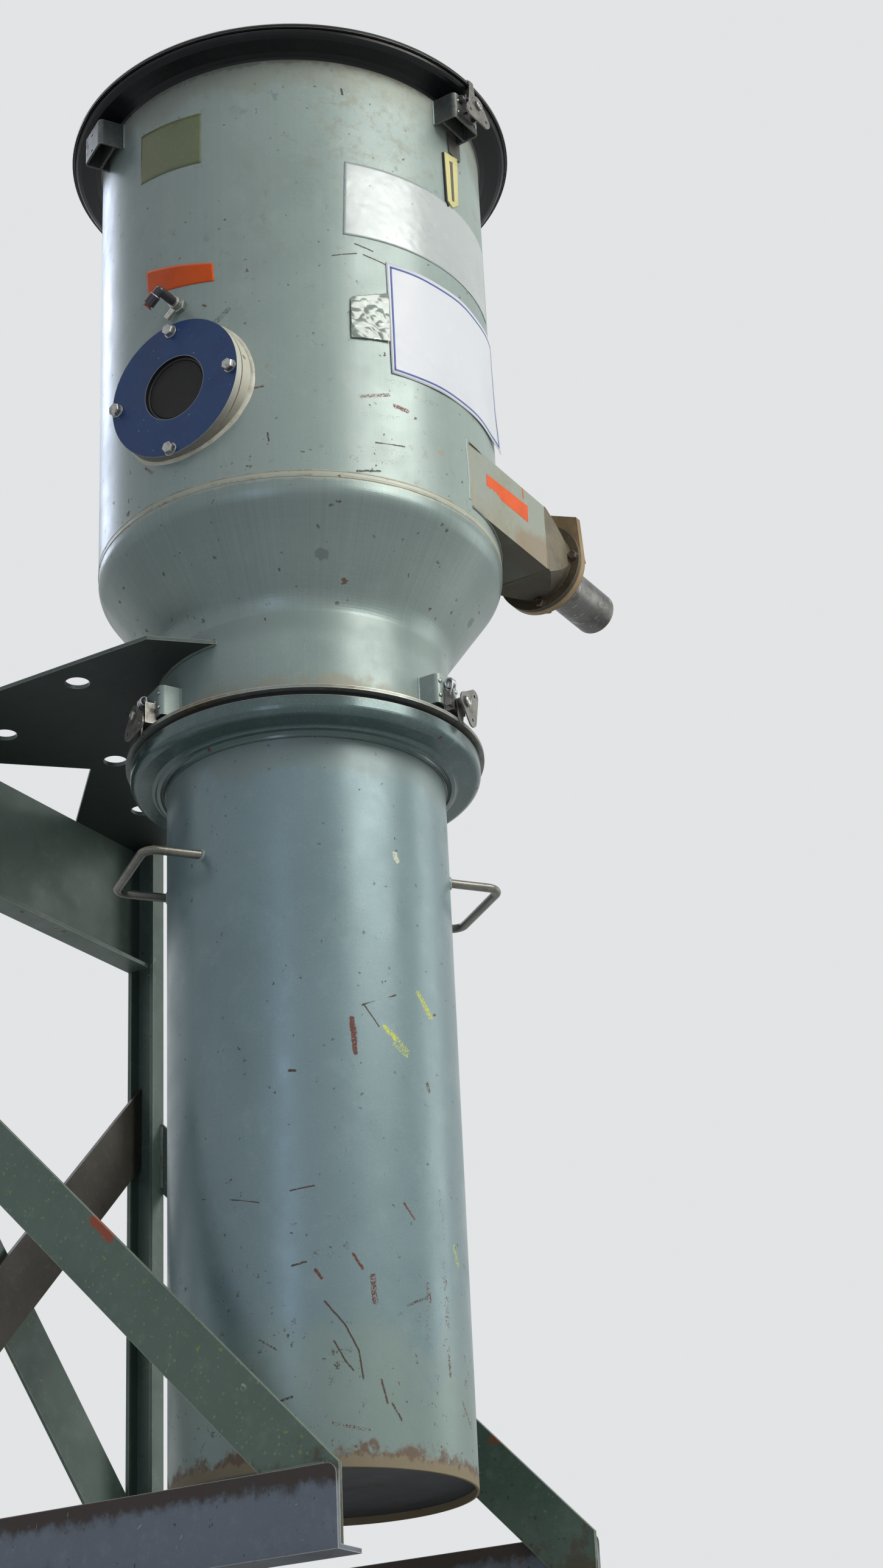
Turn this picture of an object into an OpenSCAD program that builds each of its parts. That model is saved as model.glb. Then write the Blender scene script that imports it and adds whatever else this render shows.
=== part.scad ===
// Cyclone separator for vacuum conveying: an upper chamber and cone over a latched dust can,
// carried by a steel stand.
// Z = 0 is the underside of the can's bottom plate, on the vessel's axis.
// The front is -Y and the inlet points along +X.

/* [Chamber] */
// Outside diameter of the chamber
body_d = 610; // [500:1:720]
// Height of the chamber's straight wall, from the weld seam to the flared rim
body_h = 748; // [700:1:860]
// Thickness of the chamber, cone and can sheet
wall_t = 3; // [2:0.5:4]
// Rise of the flared rim above the straight wall
rim_rise = 18; // [14:1:26]
// Reach of the lid's edge past the chamber's wall
lid_out = 49.5; // [44:0.5:64]
// Height of the lid's rolled edge
lid_edge = 10; // [8:0.5:16]
// Height of the crown pressed into the lid
crown_h = 14; // [6:1:30]
// Thickness of the rubber ring under the lid
lid_gasket_t = 4; // [3:0.5:6]

/* [Cone and neck] */
// Height of the cone, from the weld seam down to the neck
cone_h = 170; // [160:1:210]
// Radius of the knuckle at the top of the cone
knuckle_r = 40; // [24:1:46]
// Radius of the hollow curve where the cone meets the neck
hollow_r = 60; // [40:1:66]
// Outside diameter of the neck
neck_d = 430; // [420:1:450]
// Length of the neck below the cone
neck_h = 141; // [130:1:170]
// Reach of the neck's flange past the neck
flange_out = 47.5; // [44:0.5:60]
// Thickness of the neck's flange
flange_t = 5; // [4:0.5:8]

/* [Dust can] */
// Distance from the neck's outside in to the can's wall
can_inset = 12; // [8:0.5:20]
// Height of the can's wall, from its lower edge to the rolled rim
can_h = 1006; // [900:1:1100]
// Reach of the can's rolled rim past its wall
can_rim_out = 53; // [46:0.5:54]
// Height of the can's rolled rim
can_rim_h = 40; // [38:1:46]
// Depth of the edge below the can's bottom plate
can_skirt = 10; // [6:1:16]
// Thickness of the rubber ring between the can and the neck
gasket_t = 8; // [6:0.5:10]
// Height of the handles above the can's bottom plate
handle_z = 850; // [600:1:900]
// Distance between a handle's legs
handle_w = 160; // [120:1:190]
// Reach of a handle from the can's wall
handle_out = 69; // [56:1:80]
// Diameter of the handle rod
handle_rod = 12.7; // [10:0.1:14]
// Bend radius at the handle's corners, to the middle of the rod
handle_bend = 20; // [14:1:30]

/* [Latches] */
// Width of the lid's latch brackets
lid_bracket_w = 65; // [50:1:76]
// Reach of the lid's latch brackets from the chamber's wall
lid_bracket_out = 40; // [34:0.5:46]
// Width of the neck's latch brackets
neck_bracket_w = 57; // [46:1:70]
// Reach of the neck's latch brackets from the neck
neck_bracket_out = 31; // [28:0.5:38]
// Height of the latch brackets
bracket_h = 46; // [40:1:54]
// Width across a latch's two cheeks
latch_w = 32; // [26:1:38]
// Distance between the two holes in a latch's wing
wing_w = 42; // [34:1:50]

/* [Sight port] */
// Outside diameter of the port's cover ring
port_d = 224; // [200:1:230]
// Diameter of the window that shows
window_d = 103; // [80:1:112]
// Height of the port's centre above the can's bottom plate
port_z = 1536; // [1530:1:1600]
// Thickness of the port's cover ring
cover_t = 12; // [8:0.5:16]
// Distance from the chamber's wall to the flat face of the port's stub
port_out = 2; // [1:0.5:30]

/* [Air fitting] */
// Height of the air fitting above the port's centre
fitting_up = 150; // [140:1:190]
// Outside diameter of the push-in elbow
elbow_d = 16; // [12:0.5:20]

/* [Inlet] */
// Height of the square inlet box, which is also its depth
inlet_box = 112; // [100:1:120]
// Distance from the chamber's widest point back to the end of the inlet box
inlet_back = 77; // [60:1:80]
// Height of the inlet's centre line above the can's bottom plate
inlet_z = 1440; // [1430:1:1460]
// Length of the square-to-round piece
reducer_l = 72; // [60:1:90]
// Outside diameter of the inlet's round flange
inlet_flange_d = 145; // [136:1:160]
// Outside diameter of the inlet tube, which the conveying hose slides over
inlet_tube_d = 70; // [50:0.5:76]
// Length of the inlet tube beyond its plate
inlet_tube_l = 164; // [120:1:200]

/* [Stand] */
// Distance between the outer faces of the two rails
stand_w = 640; // [620:1:700]
// Reach of the rails in front of the vessel's axis
rail_front = 230; // [200:1:260]
// Height of the rails
rail_h = 100; // [80:1:110]
// Width of the rails' foot
rail_foot = 44; // [36:1:60]
// Gap from the top of the rails up to the can's lower edge
rail_gap = 31; // [24:1:40]
// Distance from the vessel's axis to the back of the columns
column_y = 545; // [520:1:600]
// Depth of the column channel
column_depth = 50; // [44:1:60]
// Width of the column channel's legs
column_leg = 28; // [24:1:36]
// Thickness of the stand's steel
steel_t = 6; // [5:0.5:8]
// Width of the diagonal bars
brace_w = 80; // [60:1:84]
// Rise of the crossed bars at the back
rear_rise = 790; // [600:1:900]
// Width of the mounting plate in front of the columns
plate_w = 572; // [560:1:580]
// Diameter of the mounting plate's holes
plate_hole_d = 36; // [20:1:44]
// Height of the upright plate between the columns
cross_h = 210; // [160:1:260]
// Depth of the flange along the foot of the upright plate
cross_foot = 40; // [30:1:50]

/* [Hidden] */
$fn = 96;

body_r = body_d / 2;
lid_r = body_r + lid_out;
neck_r = neck_d / 2;
flange_r = neck_r + flange_out;
can_r = neck_r - can_inset;
can_rim_r = can_r + can_rim_out;
can_low = -can_skirt;
can_top = can_low + can_h;
rim_top = can_top + can_rim_h;
flange_low = rim_top + gasket_t;
flange_top = flange_low + flange_t;
neck_top = flange_top + neck_h;
seam_z = neck_top + cone_h;
body_top = seam_z + body_h;
body_flange = body_top + rim_rise;
lid_low = body_flange + lid_gasket_t;
lid_skirt = lid_low - 3;
lid_top = lid_skirt + lid_edge;
lid_roll = 0.7;
rail_top = can_low - rail_gap;
rail_low = rail_top - rail_h;
side_x = stand_w / 2;
inner_x = side_x - steel_t;
plate_z = neck_top - 30;

// A ring with a straight bore
module ring(outer, inner, low, high) {
  translate([0, 0, low]) difference() {
    cylinder(r = outer, h = high - low);
    translate([0, 0, -1]) cylinder(r = inner, h = high - low + 2);
  }
}

// Points along an arc in the plane of a profile, from angle a0 to angle a1
function arc(c, r, a0, a1, n = 8) = [for (i = [0:n]) let (a = a0 + (a1 - a0) * i / n)
  [c[0] + r * cos(a), c[1] + r * sin(a)]];

// The pressed cover: a crowned sheet with a rolled edge turned down outside the rubber ring
module lid() {
  roll = lid_edge * lid_roll;
  crown_r = lid_r - 60;
  crown = (crown_r * crown_r + crown_h * crown_h) / (2 * crown_h);
  sweep = asin(crown_r / crown);
  outside = concat([[lid_r, lid_skirt]], arc([lid_r - roll, lid_top - roll], roll, 0, 90, 6),
    arc([0, lid_top + crown_h - crown], crown, 90 - sweep, 90, 10));
  inside = concat(arc([0, lid_top + crown_h - crown], crown - wall_t, 90, 90 - sweep, 10),
    [[crown_r - wall_t, lid_low], [lid_r - wall_t, lid_low], [lid_r - wall_t, lid_skirt]]);
  color("dimgray") rotate_extrude() polygon(concat(outside, inside));
}

module lid_gasket() {
  color("black") ring(lid_r - 8, body_r - 8, body_flange, lid_low);
}

// The rim of the chamber: sheet flared out from the wall, with a flat top flange
module body_rim() {
  out = lid_r - 5;
  step = out - body_r;
  flare = [[body_r, body_top - 4], [body_r + 3, body_top], [body_r + 0.25 * step, body_top + 0.19 * rim_rise],
    [body_r + 0.52 * step, body_top + 0.36 * rim_rise], [body_r + 0.78 * step, body_top + 0.5 * rim_rise],
    [out - 4, body_top + 0.64 * rim_rise], [out - 1, body_top + 0.8 * rim_rise], [out, body_flange]];
  inside = [[body_r - wall_t, body_flange], [body_r - wall_t, body_flange - wall_t],
    [out - 4, body_flange - wall_t], [body_r + 0.5 * step, body_top + 0.36 * rim_rise + wall_t],
    [body_r, body_top + wall_t]];
  color("black") rotate_extrude() polygon(concat(flare, inside));
}

module body_shell() {
  color("cadetblue") difference() {
    ring(body_r, body_r - wall_t, seam_z, body_flange - wall_t);
    translate([-body_r, 0, port_z]) rotate([0, 90, 0])
      cylinder(d = window_d + 12, h = body_r / 2, center = true);
    translate([0, -body_r + wall_t, inlet_z - inlet_box / 2 + wall_t])
      cube([body_r, inlet_box - 2 * wall_t, inlet_box - 2 * wall_t]);
  }
}

// The spun cone: its knuckle, straight flank and hollow foot are one flowing profile,
// whose flank is the common tangent of the two curves
module cone() {
  top = [body_r - knuckle_r, seam_z - 12];
  foot = [neck_r + hollow_r, neck_top];
  run = top - foot;
  slope = atan2(run[0], run[1]) + asin((knuckle_r + hollow_r) / norm(run));
  outside = concat([[body_r, seam_z]], arc(top, knuckle_r, 0, -slope), arc(foot, hollow_r, 180 - slope, 180));
  inside = concat(arc(foot, hollow_r + wall_t, 180, 180 - slope), arc(top, knuckle_r - wall_t, -slope, 0),
    [[body_r - wall_t, seam_z]]);
  color("cadetblue") rotate_extrude() polygon(concat(outside, inside));
}

module neck() {
  color("cadetblue") ring(neck_r, neck_r - wall_t, flange_top, neck_top);
}

module neck_flange() {
  color("dimgray") ring(flange_r, neck_r - wall_t, flange_low, flange_top);
}

module can_gasket() {
  color("black") ring(can_rim_r - 5, neck_r - wall_t, rim_top, flange_low);
}

// The can's rolled rim: an upright band, a round turn under it, a flat with a shallow groove,
// and a hollow curve down to the wall
module can_rim() {
  r = can_rim_r;
  low = rim_top - 27;
  outside = concat([[can_r, can_top], [can_r + 3, can_top]], arc([can_r + 13, can_top + 1], 10, 180, 128, 3),
    [[can_r + 9.5, low - 7]], arc([can_r + 23, low - 12.5], 11, 140, 90, 5),
    arc([r - 13, low + 13], 13, -90, 0), [[r, rim_top]]);
  inside = concat([[can_r, rim_top], [can_r, rim_top - wall_t], [r - wall_t, rim_top - wall_t]],
    arc([r - 13, low + 13], 13 - wall_t, 0, -90), [[can_r + 22, low + wall_t - 1], [can_r, can_top + 9]]);
  color("cadetblue") rotate_extrude() polygon(concat(outside, inside));
}

module can_shell() {
  color("cadetblue") ring(can_r, can_r - wall_t, can_low, rim_top - wall_t);
}

module can_bottom() {
  color("dimgray") cylinder(r = can_r - wall_t, h = wall_t);
}

// A quarter bend of rod about a corner's centre, turning from +Y to +X
module rod_bend(x, y) {
  translate([x, y, 0]) intersection() {
    rotate_extrude() translate([handle_bend, 0]) circle(d = handle_rod);
    translate([0, 0, -handle_rod]) cube([2 * handle_bend, 2 * handle_bend, 2 * handle_rod]);
  }
}

// One U-shaped rod handle whose legs run out along +X from the can's wall
module can_handle() {
  reach = can_r + handle_out - handle_rod / 2;
  half = handle_w / 2;
  start = sqrt(can_r * can_r - half * half) - 12;
  corner_x = reach - handle_bend;
  corner_y = half - handle_bend;
  translate([0, 0, handle_z]) {
    difference() {
      for (side = [-1, 1]) translate([start, side * half, 0]) rotate([0, 90, 0])
        cylinder(d = handle_rod, h = corner_x - start);
      translate([0, 0, -handle_rod]) cylinder(r = can_r, h = 2 * handle_rod);
    }
    rod_bend(corner_x, corner_y);
    mirror([0, 1, 0]) rod_bend(corner_x, corner_y);
    translate([reach, corner_y, 0]) rotate([90, 0, 0]) cylinder(d = handle_rod, h = 2 * corner_y);
  }
}

module can_handle_left() {
  color("gray") rotate([0, 0, 143]) can_handle();
}

module can_handle_right() {
  color("gray") rotate([0, 0, -37]) can_handle();
}

// The directions of the latch places round the lid and the neck, the front one first
lid_angles = [-93, 149, 28];
neck_angles = [-89, 151, 31];
lid_bracket_top = body_top - 7;
neck_bracket_low = flange_top + 23;

// A bracket of bent sheet on a round wall, open below, reaching out along +X.
// Where its latch is missing, the two rivet holes in its face are open.
module bracket(wall_r, out, width, low, bare = false) {
  sheet = 3;
  bend = 8;
  face = wall_r + out;
  translate([0, 0, low]) difference() {
    union() {
      translate([wall_r - 12, -width / 2, 0]) cube([out + 12 - bend, width, bracket_h]);
      translate([face - bend, -width / 2 + bend, 0]) cube([bend, width - 2 * bend, bracket_h]);
      for (side = [-1, 1]) translate([face - bend, side * (width / 2 - bend), 0])
        cylinder(r = bend, h = bracket_h);
    }
    translate([0, 0, -1]) cylinder(r = wall_r, h = bracket_h + 2);
    translate([wall_r + out * 0.3 + sheet, -width / 2 + sheet, -1])
      cube([out * 0.7 - 2 * sheet, width - 2 * sheet, bracket_h - sheet + 1]);
    translate([wall_r - 12, -width / 2 + sheet, -1])
      cube([out * 0.3 + 12, width - 2 * sheet, bracket_h - sheet + 1]);
    if (bare) for (z = [6, bracket_h - 10]) translate([face - 2 * sheet, 0, z]) rotate([0, 90, 0])
      cylinder(d = 5.5, h = 3 * sheet);
  }
}

module lid_latch_brackets() {
  color("cadetblue") for (i = [0:2]) rotate([0, 0, lid_angles[i]])
    bracket(body_r, lid_bracket_out, lid_bracket_w, lid_bracket_top - bracket_h, i == 1);
}

module neck_latch_brackets() {
  color("cadetblue") for (a = neck_angles) rotate([0, 0, a])
    bracket(neck_r, neck_bracket_out, neck_bracket_w, neck_bracket_low);
}

// The wing of a rotary latch: a flat triangle with two lobes, a hole in each, and a raised boss.
// It lies in the YZ plane with the lobes below the pivot, then turns about the pivot.
module wing(turn) {
  lobe = 11;
  drop = wing_w / 2;
  rotate([turn, 0, 0]) {
    difference() {
      rotate([90, 0, 90]) linear_extrude(2.5) polygon(concat(
        arc([-wing_w / 2, -drop], lobe, 150, 270, 5), arc([wing_w / 2, -drop], lobe, -90, 30, 5),
        arc([0, 0], 14, 20, 160, 8)));
      for (side = [-1, 1]) translate([-1, side * wing_w / 2, -drop]) rotate([0, 90, 0])
        cylinder(d = 5.5, h = 5);
    }
    translate([2.5, 0, -2]) rotate([0, 90, 0]) cylinder(d = 17, h = 3);
  }
}

// The hook of a latch: a bent strip that narrows from the pivot to its tip. It runs up past an
// edge whose corner lies at the origin, follows the edge's roll and lies on top of it.
module hook(drop, width, roll) {
  sheet = 2;
  centre = [-roll, -roll];
  bend = tan(22.5);
  near = roll + 0.3;
  far = near + sheet;
  inside = roll > 0 ? [centre + near * [1, bend], centre + near * [bend, 1]] : [[near, near]];
  outside = roll > 0 ? [centre + far * [bend, 1], centre + far * [1, bend]] : [[far, far]];
  intersection() {
    rotate([90, 0, 0]) linear_extrude(width, center = true) polygon(concat(
      [[near - roll, -drop]], inside, [[-7, near - roll], [-7, far - roll]], outside, [[far - roll, -drop]]));
    translate([-8, 0, 0]) rotate([90, 0, 90]) linear_extrude(12) polygon([
      [-width / 2, -drop], [width / 2, -drop], [width / 6, 4], [-width / 6, 4]]);
  }
}

// A rotary draw latch on a bracket's face along +X. It draws an edge of radius edge_r, at the height
// edge_z, with dir 1 down like a lid's and with dir -1 up like a flange's.
module latch(face, pivot_z, edge_r, edge_z, dir, turn, roll) {
  cheek = latch_w / 2;
  high = pivot_z + dir * 16;
  hook_r = edge_r + 0.3;
  translate([face, -cheek, min(pivot_z - dir * 20, high)]) cube([2.5, latch_w, 36]);
  for (side = [-1, 1]) translate([face + 2.5, side * (cheek - 1) - 1, min(pivot_z - dir * 16, high)])
    cube([hook_r - face - 2.5, 2, 32]);
  translate([edge_r, 0, edge_z]) mirror([0, 0, dir > 0 ? 0 : 1])
    hook(abs(edge_z - pivot_z), cheek * 1.4, roll);
  translate([face + 2.5, 0, pivot_z]) rotate([0, 90, 0]) cylinder(d = 12, h = hook_r + 9 - face - 2.5);
  translate([hook_r + 9, 0, pivot_z]) wing(turn);
  translate([hook_r - 5, -cheek - 8, high - dir * 9]) rotate([-90, 0, 0]) cylinder(d = 10, h = 8);
}

module lid_latches() {
  color("silver") for (a = [0, 2]) rotate([0, 0, lid_angles[a]])
    latch(body_r + lid_bracket_out, lid_bracket_top - 16, lid_r, lid_top, 1, 0, lid_edge * lid_roll);
}

module neck_latches() {
  color("silver") for (a = [0, 1, 2]) rotate([0, 0, neck_angles[a]])
    latch(neck_r + neck_bracket_out, neck_bracket_low + 4, flange_r, flange_low, -1,
      a == 0 ? 78 : 0, 0);
}

port_face = body_r + port_out;
port_seat = 2;

module port_stub() {
  color("cadetblue") difference() {
    translate([-port_face, 0, port_z]) rotate([0, 90, 0]) cylinder(d = port_d, h = port_out + 28);
    translate([-port_face - 1, 0, port_z]) rotate([0, 90, 0]) cylinder(d = window_d + 12, h = body_r);
    translate([0, 0, port_z - port_d]) cylinder(r = body_r, h = 2 * port_d, $fn = 360);
  }
}

module port_ring(outer, inner, near, thick) {
  translate([-near - thick, 0, port_z]) rotate([0, 90, 0]) difference() {
    cylinder(d = outer, h = thick);
    translate([0, 0, -1]) cylinder(d = inner, h = thick + 2);
  }
}

module port_gasket() {
  color("brown") port_ring(port_d - 3, window_d + 22, port_face, port_seat);
}

module port_cover() {
  color("royalblue") port_ring(port_d, window_d, port_face + port_seat, cover_t);
}

module port_window() {
  color("darkslategray") translate([-port_face - port_seat, 0, port_z]) rotate([0, 90, 0])
    cylinder(d = window_d + 20, h = port_seat);
}

fitting_z = port_z + fitting_up;
nipple_out = 15;

// The threaded nipple in the wall, with a plug that branches off it down and back
module air_nipple() {
  color("silver") difference() {
    union() {
      translate([-body_r - nipple_out, 0, fitting_z]) rotate([0, 90, 0])
        cylinder(d = elbow_d + 3, h = nipple_out + 8);
      translate([-body_r - nipple_out / 2, 0, fitting_z]) rotate([-130, 0, 0])
        cylinder(d = elbow_d * 0.6, h = elbow_d + 10);
    }
    translate([0, 0, fitting_z - 40]) cylinder(r = body_r, h = 80, $fn = 360);
  }
}

// The push-in elbow: out from the nipple, then down and back
module air_elbow() {
  reach = 36;
  color("black") translate([-body_r - nipple_out, 0, fitting_z]) {
    translate([-reach, 0, 0]) rotate([0, 90, 0]) cylinder(d = elbow_d - 2, h = reach);
    translate([-reach, 0, 0]) sphere(d = elbow_d - 2);
    translate([-reach, 0, 0]) rotate([-130, 0, 0]) cylinder(d = elbow_d - 2, h = 10);
    translate([-reach, 0, 0]) rotate([-130, 0, 0]) translate([0, 0, 10]) cylinder(d = elbow_d + 1, h = 16);
  }
}

inlet_x = body_r - inlet_back;
inlet_y = -body_r + inlet_box / 2;
flange_x = inlet_x + reducer_l;
flange_seat = 8;
inlet_plate_t = 12;
tube_x = flange_x + flange_seat + inlet_plate_t;

module inlet_duct() {
  color("cadetblue") difference() {
    translate([0, -body_r, inlet_z - inlet_box / 2]) cube([inlet_x, inlet_box, inlet_box]);
    translate([-1, -body_r + wall_t, inlet_z - inlet_box / 2 + wall_t])
      cube([inlet_x + 2, inlet_box - 2 * wall_t, inlet_box - 2 * wall_t]);
    translate([0, 0, inlet_z - inlet_box]) cylinder(r = body_r, h = 2 * inlet_box, $fn = 360);
  }
}

// A square prism cut by a cone, which runs out square at the box and round at the flange
module square_to_round(width, length) {
  intersection() {
    translate([-width / 2, -width / 2, 0]) cube([width, width, length]);
    cylinder(r1 = width * 0.72, r2 = width / 2, h = length);
  }
}

module inlet_reducer() {
  color("dimgray") difference() {
    translate([inlet_x, inlet_y, inlet_z]) rotate([0, 90, 0]) difference() {
      square_to_round(inlet_box, reducer_l);
      square_to_round(inlet_box - 2 * wall_t, reducer_l);
      translate([0, 0, -1]) cylinder(d = inlet_box - 4 * wall_t, h = reducer_l + 2);
    }
    translate([0, 0, inlet_z - inlet_box]) cylinder(r = body_r, h = 2 * inlet_box, $fn = 360);
  }
}

module inlet_flange() {
  color("saddlebrown") translate([flange_x, inlet_y, inlet_z]) rotate([0, 90, 0]) difference() {
    cylinder(d = inlet_flange_d, h = flange_seat);
    translate([0, 0, -1]) cylinder(d = inlet_box - 2 * wall_t, h = flange_seat + 2);
  }
}

// The plate that carries the tube: round below, with an upright gabled top
module inlet_plate() {
  r = inlet_flange_d / 2;
  peak = r / 6;
  color("tan") translate([flange_x + flange_seat, inlet_y, inlet_z]) difference() {
    rotate([90, 0, 90]) linear_extrude(inlet_plate_t) union() {
      circle(r = r);
      polygon([[-r, 0], [r, 0], [r - 4, r], [peak, r * 1.46], [4 - r, r]]);
    }
    translate([-1, 0, 0]) rotate([0, 90, 0]) cylinder(d = inlet_tube_d - 4, h = inlet_plate_t + 2);
  }
}

module inlet_tube() {
  color("silver") translate([tube_x, inlet_y, inlet_z]) rotate([0, 90, 0]) difference() {
    cylinder(d = inlet_tube_d, h = inlet_tube_l);
    translate([0, 0, -1]) cylinder(d = inlet_tube_d - 4, h = inlet_tube_l + 2);
  }
}

// The plate's edge runs off the neck at 45 degrees, back beside the vessel, and in to a notch
module mounting_plate() {
  half = plate_w / 2;
  notch = column_y * 0.266;
  holes = [[-half + 48, half - 49], [half - 48, half - 49], [-half + 116, column_y - 116],
    [half - 116, column_y - 116], [0, column_y - notch - 48]];
  color("darkslategray") translate([0, 0, plate_z]) difference() {
    linear_extrude(steel_t) polygon([[-neck_r + 4, 0], [-half, half - neck_r + 4],
      [-half, column_y - 90], [-inner_x, column_y - 60], [-inner_x, column_y], [-notch, column_y],
      [0, column_y - notch], [notch, column_y], [inner_x, column_y], [inner_x, column_y - 60],
      [half, column_y - 90], [half, half - neck_r + 4], [neck_r - 4, 0]]);
    translate([0, 0, -1]) cylinder(r = neck_r, h = steel_t + 2);
    for (p = holes) translate([p[0], p[1], -1]) cylinder(d = plate_hole_d, h = steel_t + 2);
  }
}

module cross_plate() {
  low = plate_z - cross_h;
  half = inner_x - column_leg;
  color("cadetblue") translate([-half, column_y - steel_t, low]) {
    cube([2 * half, steel_t, cross_h]);
    translate([0, steel_t - cross_foot, -steel_t]) cube([2 * half, cross_foot, steel_t]);
  }
}

// One column channel, with its web outwards at +X
module column() {
  base = rail_low + steel_t;
  translate([inner_x - steel_t, column_y - column_depth, base])
    cube([steel_t, column_depth, plate_z - base]);
  for (y = [column_y - column_depth, column_y - steel_t])
    translate([inner_x - column_leg, y, base]) cube([column_leg, steel_t, plate_z - base]);
}

module column_left() {
  color("cadetblue") mirror([1, 0, 0]) column();
}

module column_right() {
  color("cadetblue") column();
}

// One rail: an angle with its foot inwards, at +X, and the front corner of its wall rounded
module rail() {
  length = column_y + rail_front + 10;
  corner = 14;
  translate([inner_x, -rail_front, rail_low]) rotate([90, 0, 90]) linear_extrude(steel_t) polygon(concat(
    arc([corner, rail_h - corner], corner, 180, 90, 6), [[length, rail_h], [length, 0], [0, 0]]));
  translate([side_x - steel_t - rail_foot, -rail_front, rail_low]) cube([rail_foot, length, steel_t]);
}

module rail_left() {
  color("sienna") mirror([1, 0, 0]) rail();
}

module rail_right() {
  color("sienna") rail();
}

// One flat bar at 45 degrees from the rail's front end up to the column
module brace() {
  front = column_y - column_depth;
  rise = front + rail_front;
  drop = brace_w * sqrt(2);
  low = rail_low + steel_t;
  reach = rail_top - low;
  translate([inner_x - steel_t, 0, 0]) rotate([90, 0, 90]) linear_extrude(steel_t) polygon([
    [-rail_front, rail_top], [-rail_front, low], [-rail_front + drop - reach, low],
    [front, rail_top + rise - drop], [front, rail_top + rise]]);
}

module brace_left() {
  color("darkseagreen") mirror([1, 0, 0]) brace();
}

module brace_right() {
  color("darkseagreen") brace();
}

// One flat bar across the back, rising to +X
module rear_brace(y) {
  half = inner_x - steel_t - 2;
  drop = brace_w * sqrt(half * half * 4 + rear_rise * rear_rise) / (2 * half);
  translate([0, y + steel_t, 0]) rotate([90, 0, 0]) linear_extrude(steel_t) polygon([
    [-half, rail_top], [-half, rail_top + drop], [half, rail_top + rear_rise],
    [half, rail_top + rear_rise - drop]]);
}

module rear_brace_front() {
  color("dimgray") rear_brace(column_y - 2 * steel_t);
}

module rear_brace_back() {
  color("darkseagreen") mirror([1, 0, 0]) rear_brace(column_y);
}

module rear_base_angle() {
  half = side_x - steel_t - rail_foot;
  color("cadetblue") translate([-half, column_y + 4 - rail_foot, rail_low]) cube([2 * half, rail_foot, steel_t]);
}

lid();
lid_gasket();
body_rim();
body_shell();
cone();
neck();
neck_flange();
can_gasket();
can_rim();
can_shell();
can_bottom();
can_handle_left();
can_handle_right();
lid_latch_brackets();
lid_latches();
neck_latch_brackets();
neck_latches();
port_stub();
port_gasket();
port_cover();
port_window();
air_nipple();
air_elbow();
inlet_duct();
inlet_reducer();
inlet_flange();
inlet_plate();
inlet_tube();
mounting_plate();
cross_plate();
column_left();
column_right();
rail_left();
rail_right();
brace_left();
brace_right();
rear_brace_front();
rear_brace_back();
rear_base_angle();
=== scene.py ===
import math
import random

import bmesh
import bpy
from mathutils import Matrix, Vector
from mathutils.noise import noise as cloudAt


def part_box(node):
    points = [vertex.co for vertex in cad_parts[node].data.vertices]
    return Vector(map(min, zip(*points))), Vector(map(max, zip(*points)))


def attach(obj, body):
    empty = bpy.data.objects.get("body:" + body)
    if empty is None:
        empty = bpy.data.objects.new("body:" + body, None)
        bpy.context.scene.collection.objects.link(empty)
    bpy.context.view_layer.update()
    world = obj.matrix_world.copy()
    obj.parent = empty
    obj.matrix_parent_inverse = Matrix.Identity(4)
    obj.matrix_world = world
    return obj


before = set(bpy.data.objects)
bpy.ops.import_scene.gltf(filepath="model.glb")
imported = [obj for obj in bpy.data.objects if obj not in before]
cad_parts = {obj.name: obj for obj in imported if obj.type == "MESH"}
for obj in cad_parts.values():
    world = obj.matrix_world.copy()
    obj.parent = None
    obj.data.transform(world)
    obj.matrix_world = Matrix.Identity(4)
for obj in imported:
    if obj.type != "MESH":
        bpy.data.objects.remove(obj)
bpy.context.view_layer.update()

scene = bpy.context.scene
scene.view_settings.view_transform = "Standard"
print("frame loaded:", len(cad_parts), "nodes")


def low(node):
    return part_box(node)[0]


def high(node):
    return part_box(node)[1]


def middle(node, axis):  # halfway along one axis of a solid's box; 0, 1, 2 are X, Y, Z
    return (low(node)[axis] + high(node)[axis]) / 2


def reach(node, axis):  # half its length along one axis
    return (high(node)[axis] - low(node)[axis]) / 2


# sizes read off the solids, so that every added piece sits on what carries it
wallR, canR, neckR = high("body_shell").x, high("can_shell").x, high("neck").x
lidR, flangeR = high("lid").x, high("neck_flange").x
seamZ, floorZ = low("body_shell").z, low("rail_left").z
portX, portZ = low("port_cover").x, middle("port_cover", 2)
inletY, inletZ = middle("inlet_tube", 1), middle("inlet_tube", 2)
lidAngles = [-93, 149, 28]  # where the latches stand round the lid and round the neck, in degrees
neckAngles = [-89, 151, 31]


def tint(code):  # an sRGB code such as "8C9E9A" as a linear colour
    parts = [int(code[i:i + 2], 16) / 255 for i in (0, 2, 4)]
    return [c / 12.92 if c <= 0.04045 else ((c + 0.055) / 1.055) ** 2.4 for c in parts] + [1.0]


def turned(radius, angle):  # x and y on a circle, by an angle in radians
    return radius * math.cos(angle), radius * math.sin(angle)


def circle(radius, count):
    return [turned(radius, 2 * math.pi * i / count) for i in range(count)]


def onWall(angle, radius, z):  # a point on a round wall about the vessel's axis, by an angle in degrees
    return Vector((*turned(radius, math.radians(angle)), z))


def wayOut(angle):  # the outward and the sideways direction at an angle round the vessel
    return onWall(angle, 1, 0), onWall(angle + 90, 1, 0)


def radial(p):  # the wall's outward direction at a point
    return Vector((p.x, p.y, 0)).normalized()


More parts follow.
